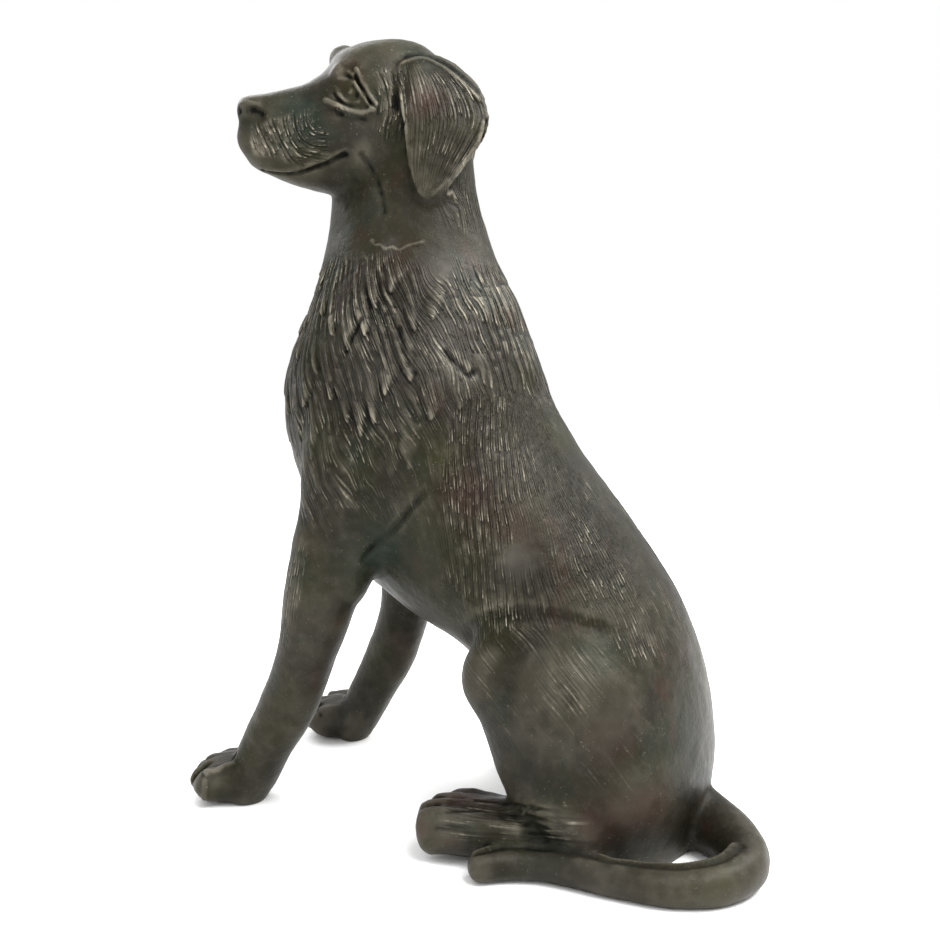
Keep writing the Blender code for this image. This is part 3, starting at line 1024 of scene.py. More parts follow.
    def leg(self, points: Array, patches: Array) -> Lie:
        """Hair down the front of the upper foreleg, by the angle about the leg.

        Args:
            points: rows of x, y, z.
            patches: how thick the hair is in patches, from 0 to 1.

        Returns:
            The lie.
        """
        x, y, z = points.T
        ahead = np.interp(z, *self.leg_way) - y
        legged = band(z, *self.leg_span) * (1 - ramp(-ahead, *self.leg_behind))
        angle = np.arctan2(np.abs(x) - self.leg_middle, ahead)
        return self.leg_radius * angle, -z, 0.5 * legged * patches

    def ears(self, points: Array, patches: Array, wander: Array) -> Lie:
        """Strokes down the ears, by the share of the ear's width.

        Args:
            points: rows of x, y, z.
            patches: how thick the hair is in patches, from 0 to 1.
            wander: how far the hair wanders sideways.

        Returns:
            The lie.
        """
        near, far = (self.head.ear_place(points, side) for side in Side)
        across, height, weight = (np.where(near[2] >= far[2], a, b) for a, b in zip(near, far))
        return self.ear_width * across - 0.6 * wander, -height, weight * (0.35 + 0.65 * patches)

    def muzzle(self, points: Array, wander: Array) -> Lie:
        """Strokes in rings round the eye's inner corner, by the distance from it and the angle about it.

        Args:
            points: rows of x, y, z.
            wander: how far the hair wanders sideways.

        Returns:
            The lie.
        """
        side, back, height = self.head.level(points).T
        side, ahead = np.abs(side), -back
        centre_y, centre_z = self.head.whisker_centre
        forward, up = centre_y + ahead, height - centre_z
        radius, angle = np.hypot(forward, up), np.arctan2(-up, forward)
        lip = 1 - ramp(forward, *self.lip_ahead) * (1 - ramp(height, *self.lip_height))
        muzzle = ramp(side, *self.muzzle_side) * band(radius, *self.muzzle_ring) * lip
        muzzle *= ramp(height, *self.muzzle_low) * (1 - ramp(height + 0.25 * forward, *self.muzzle_top))
        muzzle *= band(ahead, *self.muzzle_ahead) * (1 - ramp(angle, *self.muzzle_turn))
        muzzle *= 0.4 + 0.6 * ramp(cloudy(points, 22, 12), *self.muzzle_patches)
        return radius + 0.8 * wander, (radius + 30) * angle, muzzle

    def temple(self, points: Array, wander: Array) -> Lie:
        """Short curls between the eye and the ear.

        Args:
            points: rows of x, y, z.
            wander: how far the hair wanders sideways.

        Returns:
            The lie.
        """
        side, y, z = self.head.level(points).T
        temple = band(y, *self.temple_back) * ramp(np.abs(side), *self.temple_side)
        temple *= band(z, *self.temple_height)
        return y + 0.8 * wander, -z, 0.7 * temple

    def ragged(self, points: Array) -> Array:
        """How much higher or lower the coat begins at each point."""
        return 14 * cloudy(points * (1, 1, 0.2), 44, 14)

    def cells(self, points: Array, shift: float) -> tuple[Array, Array]:
        """Where each point lies in its lock.

        Args:
            points: rows of x, y, z.
            shift: 0 for the first family of locks and 0.5 for the one between.

        Returns:
            The distance from the lock's middle in lock widths, and the share of its length from root to tip.
        """
        x, y, z = points.T
        turn = np.arctan2(x, self.chest_axis - y)
        wave = 9 * np.sin(z / 41 + 2.2 * turn) + 6 * np.sin(z / 23 + 5 * turn) + 3 * cloudy(points, 20, 11)
        shear = 0.4 * np.sin(np.clip(turn, -2, 2) * math.pi / 2) * (z - self.shear_level)
        column = (turn * self.radius + wave + shear) / self.lock_width + shift
        middle = np.floor(column)
        row = (700 - z) / self.lock_length + chance(middle, np.full(len(points), 9 + 2 * shift))
        return column - middle - 0.5, row - np.floor(row)

    def locks(self, points: Array) -> Array:
        """Height of the large locks on chest, shoulders and neck.

        They hang in columns at even angles round the chest's axis, each column starting at its own height,
        and a second family fills the gaps. A lock rises towards its tip, and its half width is the square
        root of the length left, so that it ends in a point with a step below it.

        Args:
            points: rows of x, y, z.

        Returns:
            One height for each point.
        """
        x, y, z = points.T
        turn = np.arctan2(x, self.chest_axis - y)
        highest = np.zeros(len(points))
        for shift in (0.0, 0.5):
            away, along = self.cells(points, shift)
            half = 1.15 * np.clip(1 - along, 0.001, 1) ** 0.62
            body = np.clip(1 - (np.abs(away) * 2 / half) ** 2, 0, 1)
            highest = np.maximum(highest, body * along)
        upper = z + self.ragged(points)
        coat = slope(z, *self.locks_rise) * slope(upper, *self.locks_fall)
        coat *= slope(np.abs(turn), *self.locks_turn)
        return self.lock_depth * coat * (highest - 0.35)

    def lift(self, points: Array) -> Array:
        """Height of locks and tufts, and of the slight unevenness of a cast.

        Args:
            points: rows of x, y, z.

        Returns:
            One height for each point.
        """
        fields = self.fields(points)
        total = self.locks(points) + 0.6 * cloudy(points, 24, 5) + 0.3 * cloudy(points, 9, 6)
        for tuft in self.tufts:
            s, t, weight = fields[tuft.flow]
            half = np.flatnonzero(weight > 0.01)
            height = strands(s[half], t[half], tuft.width, tuft.length, tuft.seed)
            total[half] += tuft.height * weight[half] * (height - 0.35)
        return total

    def laid(self, points: Array) -> tuple[Array, Array, Array]:
        """The strongest flow at each point.

        Args:
            points: rows of x, y, z.

        Returns:
            The flow's number, for each flow the places across and along it in strand widths and lengths,
            and how much hair is there.
        """
        fields = self.fields(points)
        weights = np.stack([fields[flow][2] for flow in Flow])
        best = weights.argmax(0)
        places = np.stack([np.stack(fields[flow][:2], 1) / self.strand_sizes[flow.value] for flow in Flow])
        return best, places, weights.max(0)


@dataclass
class Statue:
    """The whole cast: its limbs fused into one skin, relaxed, carved, cut flat below and thinned."""

    node: str = "dog"
    head: Head = field(default_factory=Head)
    trunk: Trunk = field(default_factory=Trunk)
    tail: Tail = field(default_factory=Tail)
    left_leg: Foreleg = field(default_factory=lambda: Foreleg(Side.LEFT, (-16, -8), 20, (0,) * 7))
    right_leg: Foreleg = field(
        default_factory=lambda: Foreleg(Side.RIGHT, (14, -9), -20, (3, 5, 6, 2, -2, -7, -7))
    )
    haunches: tuple[Hindleg, Hindleg] = (Hindleg(Side.LEFT), Hindleg(Side.RIGHT))
    folds: tuple[Line, ...] = (
        Line(((158, 300, 440), (150, 264, 401), (140, 224, 366), (140, 196, 340)), 4.5, -3.2),
        Line(((132, 255, 632), (136, 260, 619), (140, 266, 604), (143, 274, 590), (144, 281, 580)), 3.5, -3),
        Line(((117, 310, 604), (115, 318, 595), (112, 327, 586), (108, 336, 577), (101, 340, 581)), 4, -3),
        Line(((136, 205, 643), (141, 193, 622), (142, 184, 598)), 3.5, -2.5),
        Line(((116, 334, 246), (124, 352, 274), (146, 392, 297), (150, 455, 306), (132, 512, 292)), 9, -3.5),
    )
    ruff_way: tuple[Row, ...] = (
        (91, 196, 741),
        (93, 202, 735),
        (95, 210, 735),
        (95, 217, 729),
        (94, 226, 731),
        (92, 235, 727),
        (88, 246, 733),
        (80, 259, 737),
    )
    ruff_rise: Row = (2.4, 2.2)
    # Patina tints, pale patches of wear and painted highlight, and dark patches of painted shade, each a set
    # of round spots.
    patina_and_painted_light: dict[str, tuple[Dent, ...]] = field(
        default_factory=lambda: {
            "russet": dents(
                (130, 572, 84, 34, 1), (142, 350, 78, 40, 1), (150, 520, 72, 34, 0.8),
                (164, 537, 171, 34, 0.7), (142, 353, 444, 34, 0.8), (130, 405, 396, 34, 0.7),
                (55, 253, 911, 22, 1), (93, 240, 715, 30, 0.6),
            ),
            "green": dents(
                (183, 371, 59, 22, 1), (160, 470, 52, 40, 0.8), (135, 242, 368, 46, 0.7),
                (128, 211, 332, 40, 0.7), (68, 599, 148, 46, 0.8), (107, 105, 905, 30, 0.5),
            ),
            "olive": dents(
                (88, 172, 922, 30, 1), (148, 318, 482, 26, 1), (142, 372, 296, 40, 0.8),
            ),
            # Pale patches: wear and rubbing in places, and a painted highlight along the top of the back,
            # where the light from above and behind falls.
            "pale": dents(
                (143, 409, 364, 24, 1), (78, 285, 705, 26, 0.8), (112, 301, 628, 30, 0.6),
                (121, 319, 581, 26, 0.7), (20, 325, 698, 40, 0.5), (104, 394, 462, 46, 0.6),
                (153, 242, 569, 40, 0.5), (139, 192, 628, 30, 0.5), (94, 222, 731, 12, 0.8),
                (174, -8, 54, 16, 0.8), (93, 158, 904, 9, 0.5), (76, 178, 876, 34, 0.4),
                (82, 200, 764, 34, 0.25), (-115, 15, 45, 26, 0.4), (190, 535, 32, 34, 0.35),
                (190, 470, 30, 34, 0.35), (195, 353, 48, 24, 0.35), (165, 453, 268, 22, 0.5),
                (98, 549, 274, 24, 0.35),
            ),
            # Painted shade: dark patches low on the rump, round the root of the tail and over the lower thigh
            # and the hind foot.
            "painted_shade": dents(
                (183, 484, 140, 56, 0.4), (172, 470, 60, 26, 0.8), (130, 560, 52, 40, 0.7),
                (180, 360, 62, 26, 0.4), (60, 600, 90, 34, 0.5), (175, 499, 237, 44, 0.5),
                (152, 550, 184, 44, 0.35), (31, 608, 124, 50, 0.5),
            ),
        }
    )
    voxel: float = 0.0033
    quick_voxel: float = 0.0048
    relax_reach: float = 145.8
    blend_reach: float = 1092.6
    blend_thigh: tuple[Row, Row, Row] = ((60, 120), (340, 380), (640, 600))
    blend_shoulder: tuple[Row, Row] = ((300, 360), (780, 720))
    blend_aside: Row = (20, 50)
    blend_least: float = 0.3
    budget: int = 198000
    body: str = "root"
    slot: str = "patinated_bronze"

    def __post_init__(self) -> None:
        """The coat lies round this statue's own head."""
        self.coat = Coat(self.head)

    def forms(self) -> list[Skin]:
        """Every form of the dog, overlapping."""
        parts = (self.trunk, self.left_leg, self.right_leg, *self.haunches, self.tail, self.head)
        return [form for part in parts for form in part.forms()]

    def fused(self) -> bpy.types.Mesh:
        """One even skin round all the forms: a voxel remesh, relaxed and then divided once.

        Returns:
            The smooth mesh, in metres.
        """
        skins = self.forms()
        starts = np.cumsum([0] + [len(skin.points) for skin in skins])
        faces = [[int(start) + k for k in face] for start, skin in zip(starts, skins) for face in skin.faces]
        mesh = bpy.data.meshes.new("forms")
        mesh.from_pydata((np.vstack([skin.points for skin in skins]) * SHARE).tolist(), [], faces)
        voxel = self.voxel
        mesh = Shaping.through(mesh, "REMESH", mode="VOXEL", voxel_size=voxel)
        points = self.relaxed(mesh, Shaping.places(mesh) / SHARE, voxel / SHARE)
        Shaping.place(mesh, points * SHARE)
        return Shaping.through(mesh, "SUBSURF", levels=1, render_levels=1)

    def relaxed(self, mesh: bpy.types.Mesh, points: Array, spacing: float) -> Array:
        """Points drawn half-way to their neighbours' middle, again and again, where limbs meet the trunk.

        The number of rounds is a reach over the square of the points' spacing, so that a finer skin
        relaxes to the same shape.

        Args:
            mesh: the skin whose edges join the neighbours.
            points: its points.
            spacing: distance between its points.

        Returns:
            The relaxed points.
        """
        x, y, z = points.T
        low, front, rear = self.blend_thigh
        thigh = slope(z, *low) * slope(y, *front) * slope(y, *rear)
        below, above = self.blend_shoulder
        shoulder = slope(z, *below) * slope(z, *above)
        aside = np.maximum(slope(np.abs(x), *self.blend_aside), self.blend_least)
        blend = np.maximum(thigh, shoulder) * aside
        even, uneven = (round(reach / spacing**2) for reach in (self.relax_reach, self.blend_reach))
        around = Neighbours(mesh)
        for step in range(even + uneven):
            pull = 0.5 if step < even else 0.5 * blend[:, None]
            points = points + pull * (around.mean(points) - points)
        return points

    def lift(self, points: Array) -> Array:
        """Height of everything carved into the smooth figure.

        Args:
            points: rows of x, y, z.

        Returns:
            One height for each point.
        """
        total = self.head.lift(points) + self.coat.lift(points) + self.tail.lift(points)
        for part in (self.left_leg, self.right_leg, *self.haunches):
            total += part.lift(points)
        for side in Side:
            faced = points * (side.value, 1, 1)
            total += sum(line.lift(faced) for line in (*self.folds, Line(self.ruff_way, *self.ruff_rise)))
        return total

    def carved(self, mesh: bpy.types.Mesh) -> None:
        """The smooth figure's points moved along their normals by the lift.

        Args:
            mesh: the smooth mesh, which is changed.
        """
        points = Shaping.places(mesh)
        lift = self.lift(points / SHARE)
        Shaping.place(mesh, points + lift[:, None] * SHARE * Shaping.normals(mesh))

    def build(self) -> bpy.types.Object:
        """The statue as one finished object that stands for the CAD node.

        Returns:
            The object.
        """
        mesh = self.fused()
        log.info("fused: %d points", len(mesh.vertices))
        self.carved(mesh)
        share = self.budget / (2 * len(mesh.polygons))
        if share < 1:
            mesh = Shaping.through(mesh, "DECIMATE", ratio=share)
        Shaping.cut_below(mesh, 0.0)
        raw = Shaping.places(mesh)
        self.mark(mesh, raw / SHARE)
        Shaping.place(mesh, Shaping.fitted(raw, *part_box(self.node)))
        mesh.shade_smooth()
        mesh.name = "bronze_dog"
        mesh.materials.clear()
        mesh.materials.append(Patina().material())
        statue = bpy.data.objects.new("bronze_dog", mesh)
        bpy.context.scene.collection.objects.link(statue)
        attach(statue, self.body)
        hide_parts(self.node)
        log.info("%s: %d points, %d faces", statue.name, len(mesh.vertices), len(mesh.polygons))
        return statue

    def mark(self, mesh: bpy.types.Mesh, points: Array) -> None:
        """Hollowness, hair, its places and the patches of patina, wear, painted highlight and painted shade
        written on the mesh for the patina to read.

        Hollowness is how far a point lies below its neighbours' middle along its normal, over the
        distance to them, taken near and, after a few rounds of averaging, wide.

        Args:
            mesh: the mesh that takes the marks.
            points: its points in thousandths of the height.
        """
        around = Neighbours(mesh)
        normals = Shaping.normals(mesh)
        gap = around.mean(points) - points
        near = np.einsum("ij,ij->i", gap, normals) / np.maximum(around.spread(points), 0.3)
        for _ in range(2):
            near = 0.5 * near + 0.5 * around.mean(near[:, None])[:, 0]
        wide = points
        for _ in range(14):
            wide = around.mean(wide)
        deep = np.einsum("ij,ij->i", wide - points, normals)
        best, places, weight = self.coat.laid(points)
        Shaping.attribute(mesh, "hollow", np.clip(near * 4, -1, 1))
        Shaping.attribute(mesh, "deep", np.clip(deep / 5, -1, 1))
        Shaping.attribute(mesh, "hair", weight)
        for name, spots in self.patina_and_painted_light.items():
            Shaping.attribute(mesh, name, np.clip(sum(spot.lift(points) for spot in spots), 0, 1))
        corners = np.empty(len(mesh.loops), np.int64)
        mesh.loops.foreach_get("vertex_index", corners)
        firsts = corners.reshape(-1, 3)[:, 0]
        flow = np.repeat(best[firsts], 3)
        layer = mesh.uv_layers.new(name="lie")
        layer.data.foreach_set("uv", places[flow, corners].astype(np.float32).ravel())


class Neighbours:
    """The points joined to each point by an edge."""

    def __init__(self, mesh: bpy.types.Mesh) -> None:
        """Reads the mesh's edges once.

        Args:
            mesh: the mesh whose edges join the neighbours.
        """
        edges = np.empty(len(mesh.edges) * 2, np.int64)
        mesh.edges.foreach_get("vertices", edges)
        self.first, self.second = edges.reshape(-1, 2).T
        self.count = len(mesh.vertices)
        self.degree = np.maximum(np.bincount(edges, minlength=self.count), 1)

    def mean(self, values: Array) -> Array:
        """The neighbours' mean of each column of values."""
        sums = [self.total(row[self.second], row[self.first]) for row in values.T]
        return (np.stack(sums) / self.degree).T

    def total(self, to_first: Array, to_second: Array) -> Array:
        """What every edge gives to its first and to its second point, summed at the points."""
        return np.bincount(self.first, to_first, self.count) + np.bincount(self.second, to_second, self.count)

    def spread(self, points: Array) -> Array:
        """Each point's mean distance to its neighbours."""
        length = np.linalg.norm(points[self.first] - points[self.second], axis=1)
        return self.total(length, length) / self.degree


class Shaping:
    """Whole-mesh steps: reading and writing points, modifiers, the cut at the floor, the fit to the frame."""

    @staticmethod
    def places(mesh: bpy.types.Mesh) -> Array:
        """The mesh's points as rows.

        Args:
            mesh: the mesh that is read.

        Returns:
            Rows of x, y, z.
        """
        flat = np.empty(len(mesh.vertices) * 3, np.float32)
        mesh.vertices.foreach_get("co", flat)
        return flat.reshape(-1, 3).astype(float)

    @staticmethod
    def normals(mesh: bpy.types.Mesh) -> Array:
        """The outward normal at each point.

        Args:
            mesh: the mesh that is read.

        Returns:
            Rows of x, y, z of length one.
        """
        flat = np.empty(len(mesh.vertices) * 3, np.float32)
        mesh.vertex_normals.foreach_get("vector", flat)
        return flat.reshape(-1, 3).astype(float)

    @staticmethod
    def place(mesh: bpy.types.Mesh, points: Array) -> None:
        """The mesh's points put at the given rows."""
        mesh.vertices.foreach_set("co", points.astype(np.float32).ravel())
        mesh.update()

    @staticmethod
    def attribute(mesh: bpy.types.Mesh, name: str, values: Array) -> None:
        """One number for each point, under a name that a material can read."""
        layer = mesh.attributes.new(name, "FLOAT", "POINT")
        layer.data.foreach_set("value", values.astype(np.float32))

    @staticmethod
    def through(mesh: bpy.types.Mesh, kind: str, **settings: object) -> bpy.types.Mesh:
        """The mesh after one modifier of that kind.

        Args:
            mesh: the mesh, which is used up.
            kind: the modifier's type.
            **settings: the modifier's settings by name.

        Returns:
            The new mesh.
        """
        holder = bpy.data.objects.new("shaping", mesh)
        bpy.context.scene.collection.objects.link(holder)
        modifier = holder.modifiers.new("step", kind)
        for name, value in settings.items():
            setattr(modifier, name, value)
        graph = bpy.context.evaluated_depsgraph_get()
        shaped = bpy.data.meshes.new_from_object(holder.evaluated_get(graph))
        bpy.data.objects.remove(holder)
        bpy.data.meshes.remove(mesh)
        return shaped

    @staticmethod
    def cut_below(mesh: bpy.types.Mesh, height: float) -> None:
        """Everything under a level cut away, and the cuts closed with flat faces.

        Args:
            mesh: the mesh, which is changed.
            height: height of the cut.
        """
        shape = bmesh.new()
        shape.from_mesh(mesh)
        everything = [*shape.verts, *shape.edges, *shape.faces]
        bmesh.ops.bisect_plane(
            shape, geom=everything, dist=1e-6, plane_co=(0, 0, height), plane_no=(0, 0, -1), clear_outer=True
        )
        rim = [edge for edge in shape.edges if edge.is_boundary]
        bmesh.ops.holes_fill(shape, edges=rim)
        bmesh.ops.triangulate(shape, faces=shape.faces)
        shape.to_mesh(mesh)
        shape.free()

    @staticmethod
    def fitted(points: Array, low: Vector, high: Vector) -> Array:
        """Points moved and scaled along each axis so that their box is the node's.

        Args:
            points: rows of x, y, z.
            low: least corner of the box.
            high: greatest corner of the box.

        Returns:
            The moved points.
        """
        low, high = np.array(low), np.array(high)
        start, size = points.min(0), np.ptp(points, axis=0)
        return low + (points - start) / size * (high - low)


class Value:
    """A node's output on which arithmetic adds Math nodes."""

    def __init__(self, shader: "Shader", socket: bpy.types.NodeSocket) -> None:
        """Keeps the tree and the output."""
        self.shader = shader
        self.socket = socket

    def math(self, operation: str, *others: "Value | float", clamp: bool = False) -> "Value":
        """A Math node of that operation on this value and the others."""
        settings = {"operation": operation, "use_clamp": clamp}
        return Value(self.shader, self.shader.node("ShaderNodeMath", settings, (self, *others)).outputs[0])

    def __add__(self, other: "Value | float") -> "Value":
        """This plus the other."""
        return self.math("ADD", other)

    def __sub__(self, other: "Value | float") -> "Value":
        """This less the other."""
        return self.math("SUBTRACT", other)

    def __rsub__(self, other: float) -> "Value":
        """The other less this."""
        return (self * -1) + other

    def __truediv__(self, other: "Value | float") -> "Value":
        """This over the other."""
        return self.math("DIVIDE", other)

    def __mul__(self, other: "Value | float") -> "Value":
        """This times the other."""
        return self.math("MULTIPLY", other)

    __radd__ = __add__
    __rmul__ = __mul__

    def rise(self, low: float, high: float) -> "Value":
        """0 at low and 1 at high, smooth between and level outside.

        Args:
            low: the value that gives 0.
            high: the value that gives 1.

        Returns:
            The risen value.
        """
        settings = {"interpolation_type": "SMOOTHSTEP"}
        inputs = {"Value": self, "From Min": low, "From Max": high}
        return Value(self.shader, self.shader.node("ShaderNodeMapRange", settings, inputs).outputs[0])

    def clipped(self) -> "Value":
        """This held between 0 and 1."""
        return self.math("MULTIPLY", 1.0, clamp=True)

    def floor(self) -> "Value":
        """The whole number below this."""
        return self.math("FLOOR")


class Shader:
    """A material's node tree, with one method that adds any node."""

    def __init__(self, name: str) -> None:
        """A new material with its Principled shader.

        Args:
            name: the material's name.
        """
        self.material = bpy.data.materials.new(name)
        self.material.use_nodes = True
        self.tree = self.material.node_tree
        self.principled = self.tree.nodes["Principled BSDF"]

    def node(self, kind: str, settings: dict | None = None, inputs: dict | tuple = ()) -> bpy.types.Node:
        """A node of that kind, its settings put on first and then the values or links of its inputs.

        Args:
            kind: the node's type.
            settings: its settings by name.
            inputs: values or links for its sockets, by name or in their order.

        Returns:
            The node.
        """
        node = self.tree.nodes.new(kind)
        for name, value in (settings or {}).items():
            setattr(node, name, value)
        pairs = inputs.items() if isinstance(inputs, dict) else enumerate(inputs)
        for key, value in pairs:
            self.feed(node.inputs[key], value)
        return node

    def feed(self, socket: bpy.types.NodeSocket, value: object) -> None:
        """A link or a plain value put on a socket.

        Args:
            socket: the socket that takes it.
            value: a Value, another socket to link, or a plain value.
        """
        if isinstance(value, Value):
            self.tree.links.new(value.socket, socket)
        elif isinstance(value, bpy.types.NodeSocket):
            self.tree.links.new(value, socket)
        else:
            socket.default_value = value

    def attribute(self, name: str) -> Value:
        """The mesh's number of that name."""
        node = self.node("ShaderNodeAttribute", {"attribute_name": name})
        return Value(self, node.outputs["Fac"])

    def noise(self, place: object, scale: float, detail: float = 3.0, roughness: float = 0.55) -> Value:
        """Fractal noise about 0.5 at the given place."""
        inputs = {"Vector": place, "Scale": scale, "Detail": detail, "Roughness": roughness}
        return Value(self, self.node("ShaderNodeTexNoise", {"noise_dimensions": "3D"}, inputs).outputs[0])

    def chance(self, *keys: Value) -> Value:
        """A repeatable number from 0 to 1 for one or two whole numbers.

        Args:
            *keys: one or two whole numbers.

        Returns:
            The number.
        """
        inputs = {"W": keys[0]}
        if len(keys) == 2:
            inputs = {"Vector": self.node("ShaderNodeCombineXYZ", {}, keys).outputs[0]}
        settings = {"noise_dimensions": f"{len(keys)}D"}
        return Value(self, self.node("ShaderNodeTexWhiteNoise", settings, inputs).outputs[0])

    def strands(self, s: Value, t: Value) -> Value:
        """Hair strokes one unit wide and one unit long, each widest at its root and pointed at its tip.

        Each column of strokes starts at its own place. A stroke's section is 1 less the square of the
        distance from its middle over its half width, and it stands highest near the tip.

        Args:
            s: place across the hair.
            t: place along the hair, towards the tips.

        Returns:
            Height from 0 to 1.
        """
        column = s.floor()
        row = t + self.chance(column) * 7.0
        cell = row.floor()
        along = row - cell
        across = (s - column - 0.5).math("ABSOLUTE") * 2 / (1.1 - along * 0.6)
        body = (1 - across * across).clipped()
        rise = (along * 0.65 + 0.35) * ((1 - along) * 7.0).clipped()
        return body * rise * (self.chance(column, cell) * 0.6 + 0.4)

    def stretched(self, place: object, scale: Row) -> bpy.types.NodeSocket:
        """The place with each axis multiplied."""
        node = self.node("ShaderNodeVectorMath", {"operation": "MULTIPLY"}, (place, scale))
        return node.outputs[0]

    def mixed(self, share: Value | float, below: object, above: object) -> bpy.types.NodeSocket:
        """A colour between two others: the first at share 0 and the second at share 1.

        Args:
            share: how much of the second colour.
            below: the first colour.
            above: the second colour.

        Returns:
            The mixed colour's socket.
        """
        node = self.node("ShaderNodeMix", {"data_type": "RGBA"})
        self.feed(node.inputs["Factor"], share)
        self.feed(node.inputs[6], below)
        self.feed(node.inputs[7], above)
        return node.outputs[2]


@dataclass(frozen=True)
class Patina:
    """Dark bronze with an olive-brown patina, black in the cuts and rubbed pale on the strands, with painted
    shade in dark patches low on the rump and a painted highlight in pale patches along the back.
    """

    brown: Row = (0.0125, 0.0108, 0.0068, 1)
    olive: Row = (0.0165, 0.0162, 0.0050, 1)
    green: Row = (0.0080, 0.0135, 0.0085, 1)
    russet: Row = (0.0260, 0.0130, 0.0090, 1)
    grey: Row = (0.048, 0.045, 0.038, 1)
    cut: Row = (0.0025, 0.0025, 0.0015, 1)
    rubbed: Row = (0.31, 0.28, 0.215, 1)
    metallic: float = 0.1
    roughness: float = 0.42
    specular: float = 0.1

    def material(self) -> bpy.types.Material:
        """The finish, from the mesh's marks, its strands and a few noises.

        Returns:
            The material.
        """
        shader = Shader("patinated_bronze")
        place = shader.node("ShaderNodeTexCoord").outputs["Object"]
        lie = shader.node("ShaderNodeUVMap", {"uv_map": "lie"}).outputs[0]
        split = shader.node("ShaderNodeSeparateXYZ", {}, (lie,)).outputs
        s, t = Value(shader, split[0]), Value(shader, split[1])
        hollow, deep, hair = (shader.attribute(name) for name in ("hollow", "deep", "hair"))

        wide = shader.noise(place, 9.0)
        patch = shader.noise(place, 17.0, 4.0, 0.6)
        other = shader.noise(shader.stretched(place, (1, 1, 0.7)), 23.0, 4.0, 0.6)
        mottle = shader.noise(place, 120.0, 5.0, 0.65)
        grit = shader.noise(place, 420.0, 2.0, 0.6)
        first = shader.strands(s, t)
        second = shader.strands(s * 1.37 + 0.4, t * 1.6 + 0.3) * 0.8
        strand = first.math("MAXIMUM", second)
        haired = hair.rise(0.02, 0.55)

        # Patina tints, the pale patches of wear and painted highlight, and the dark patches of painted shade.
        russet, green, olive, pale, painted_shade = (
            shader.attribute(name) for name in ("russet", "green", "olive", "pale", "painted_shade")
        )
        colour = shader.mixed(wide.rise(0.42, 0.66) * 0.7, self.brown, self.olive)
        greened = patch.rise(0.54, 0.68) * 0.6 + green * other.rise(0.3, 0.5)
        reddened = other.rise(0.56, 0.70) * 0.6 + russet * patch.rise(0.3, 0.5)
        # The pale patches, wear together with painted highlight, turn the colour grey.
        greyed = mottle.rise(0.45, 0.75) * 0.25 + pale * 0.7
        colour = shader.mixed(greened.clipped(), colour, self.green)
        colour = shader.mixed(reddened.clipped(), colour, self.russet)
        colour = shader.mixed(olive, colour, self.olive)
        colour = shader.mixed(greyed.clipped(), colour, self.grey)
        # Painted shade: the dark patches turn the colour towards the near-black of the cuts.
        colour = shader.mixed(painted_shade * 0.75, colour, self.cut)
        # The pale patches, wear together with painted highlight, also lighten the ridges and the strands.
        worn = (0.1 + 0.9 * patch.rise(0.40, 0.58) + pale * 0.6 + olive * 0.6).clipped()
        broken = 0.35 + 0.8 * mottle.rise(0.42, 0.60)
        ridge = hollow.rise(0.05, -0.55) * 0.5 + deep.rise(0.0, -0.5) * 0.35
        rubbing = ridge * (0.2 + 0.6 * haired * worn + olive * 0.25 + pale * 0.3)
        rubbing = rubbing + strand.rise(0.40, 0.80) * haired * worn * broken
        rubbing = rubbing + grit.rise(0.66, 0.76) * (0.08 + 0.25 * worn)
        colour = shader.mixed((rubbing * 0.85).clipped(), colour, self.rubbed)
        cut = hollow.rise(0.05, 0.55) * 0.8 + deep.rise(0.1, 0.7) * 0.6
        cut = (cut + strand.rise(0.25, 0.0) * haired * (0.35 + 0.5 * worn)).clipped()
        colour = shader.mixed(cut, colour, self.cut)

        bumps = strand * haired * 1.0 + (mottle - 0.5) * 0.45 + (grit - 0.5) * 0.12
        bump = shader.node("ShaderNodeBump", {}, {"Strength": 0.9, "Distance": 0.0017, "Height": bumps})
        gloss = self.roughness + cut * 0.25 + (mottle - 0.5) * 0.25

        principled = shader.principled
        shader.feed(principled.inputs["Base Color"], colour)
        shader.feed(principled.inputs["Roughness"], gloss.clipped())
        shader.feed(principled.inputs["Metallic"], self.metallic)
        shader.feed(principled.inputs["Specular IOR Level"], self.specular)
        shader.feed(principled.inputs["Normal"], bump.outputs[0])
        return shader.material


@dataclass(frozen=True)
class Lamp:
    """A square soft light: where it hangs, how wide it is and its power."""

    name: str
    place: Row
    size: float
    power: float

    def build(self, target: Row) -> bpy.types.Object:
        """The light, turned to the target.

        Args:
            target: the point that it lights.

        Returns:
            The light.
        """
        data = bpy.data.lights.new(self.name, "AREA")
        data.size = self.size
        data.energy = self.power
        lamp = bpy.data.objects.new(self.name, data)
        lamp.location = self.place
        lamp.rotation_euler = (Vector(self.place) - Vector(target)).to_track_quat("Z", "Y").to_euler()
        bpy.context.scene.collection.objects.link(lamp)
        return lamp


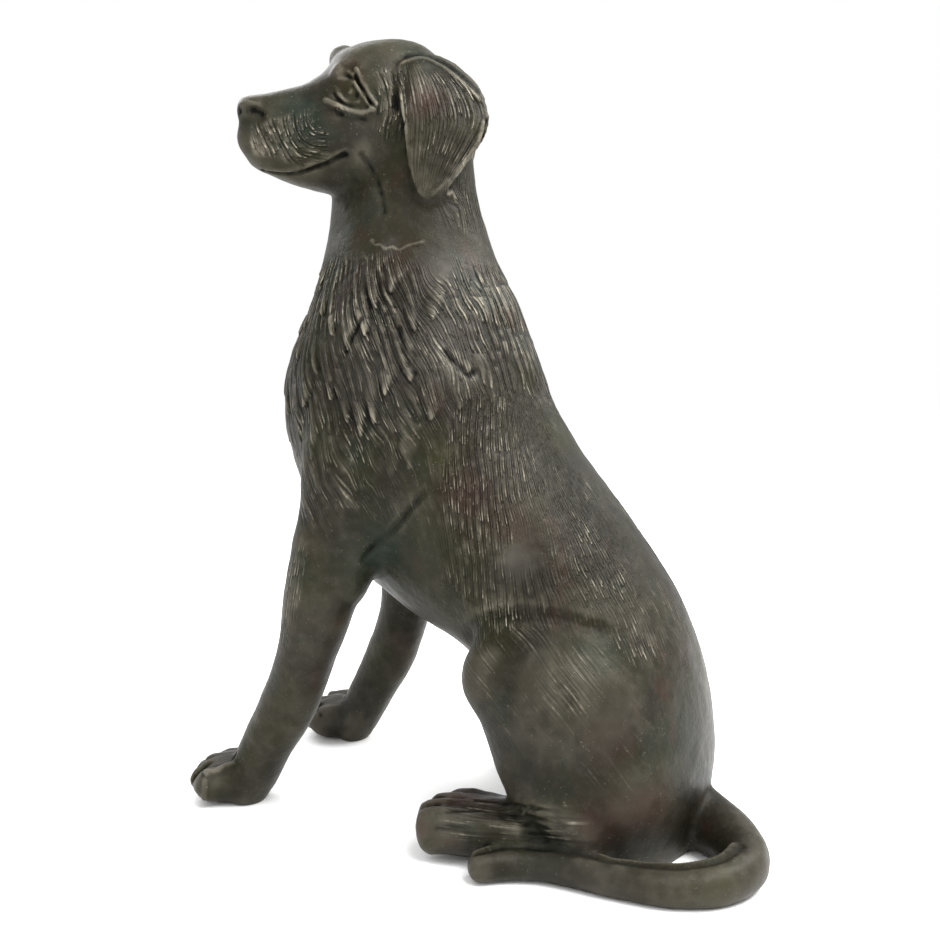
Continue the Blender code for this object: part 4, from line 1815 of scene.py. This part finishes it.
@dataclass
class Studio:
    """A plain pale floor, soft lights and the camera at the photograph's angle."""

    camera_place: Row = (1.0054, 0.4504, 0.4644)
    camera_turn: float = 115.0
    camera_dip: float = 6.5
    lens: float = 44.0
    sensor: float = 36.0
    nearest: float = 0.05
    floor_size: float = 14.0
    floor_colour: Row = (1.0, 1.0, 1.0, 1)
    floor_roughness: float = 0.9
    sky_colour: Row = (1.0, 1.0, 1.0, 1)
    sky_strength: float = 1.0
    target: Row = (0.0, 0.0, 0.40)
    lamps: tuple[Lamp, ...] = (
        Lamp("key", (0.6, 1.3, 2.4), 1.5, 80),
        Lamp("rim", (-0.6, -1.4, 1.8), 1.4, 25),
        Lamp("back", (-1.1, 1.5, 2.2), 1.4, 80),
        Lamp("fill", (2.4, 0.2, 2.2), 1.2, 12),
    )

    def camera(self) -> bpy.types.Object:
        """The camera, which looks back along its turn about z and its dip below level.

        Returns:
            The camera.
        """
        data = bpy.data.cameras.new("camera")
        data.lens = self.lens
        data.sensor_width = self.sensor
        data.clip_start = self.nearest
        turn, dip = math.radians(self.camera_turn), math.radians(self.camera_dip)
        back = Vector((math.sin(turn) * math.cos(dip), -math.cos(turn) * math.cos(dip), math.sin(dip)))
        camera = bpy.data.objects.new("camera", data)
        camera.location = self.camera_place
        camera.rotation_euler = back.to_track_quat("Z", "Y").to_euler()
        bpy.context.scene.collection.objects.link(camera)
        bpy.context.scene.camera = camera
        return camera

    def floor(self) -> bpy.types.Object:
        """A wide level floor on which the statue stands.

        Returns:
            The floor.
        """
        half = self.floor_size / 2
        mesh = bpy.data.meshes.new("floor")
        corners = [(-half, -half, 0), (half, -half, 0), (half, half, 0), (-half, half, 0)]
        mesh.from_pydata(corners, [], [(0, 1, 2, 3)])
        shader = Shader("pale_floor")
        shader.feed(shader.principled.inputs["Base Color"], self.floor_colour)
        shader.feed(shader.principled.inputs["Roughness"], self.floor_roughness)
        mesh.materials.append(shader.material)
        floor = bpy.data.objects.new("floor", mesh)
        bpy.context.scene.collection.objects.link(floor)
        return floor

    def build(self) -> None:
        """Floor, lights, sky and camera."""
        self.floor()
        for lamp in self.lamps:
            lamp.build(self.target)
        world = bpy.data.worlds.new("studio")
        world.use_nodes = True
        background = world.node_tree.nodes["Background"]
        background.inputs["Color"].default_value = self.sky_colour
        background.inputs["Strength"].default_value = self.sky_strength
        bpy.context.scene.world = world
        bpy.context.scene.view_settings.view_transform = "Standard"
        self.camera()


def main() -> None:
    """Builds the statue and the studio round the frame."""
    logging.basicConfig(level=logging.INFO, format="%(name)s: %(message)s")
    Statue().build()
    Studio().build()


if __name__ == "__main__":
    main()
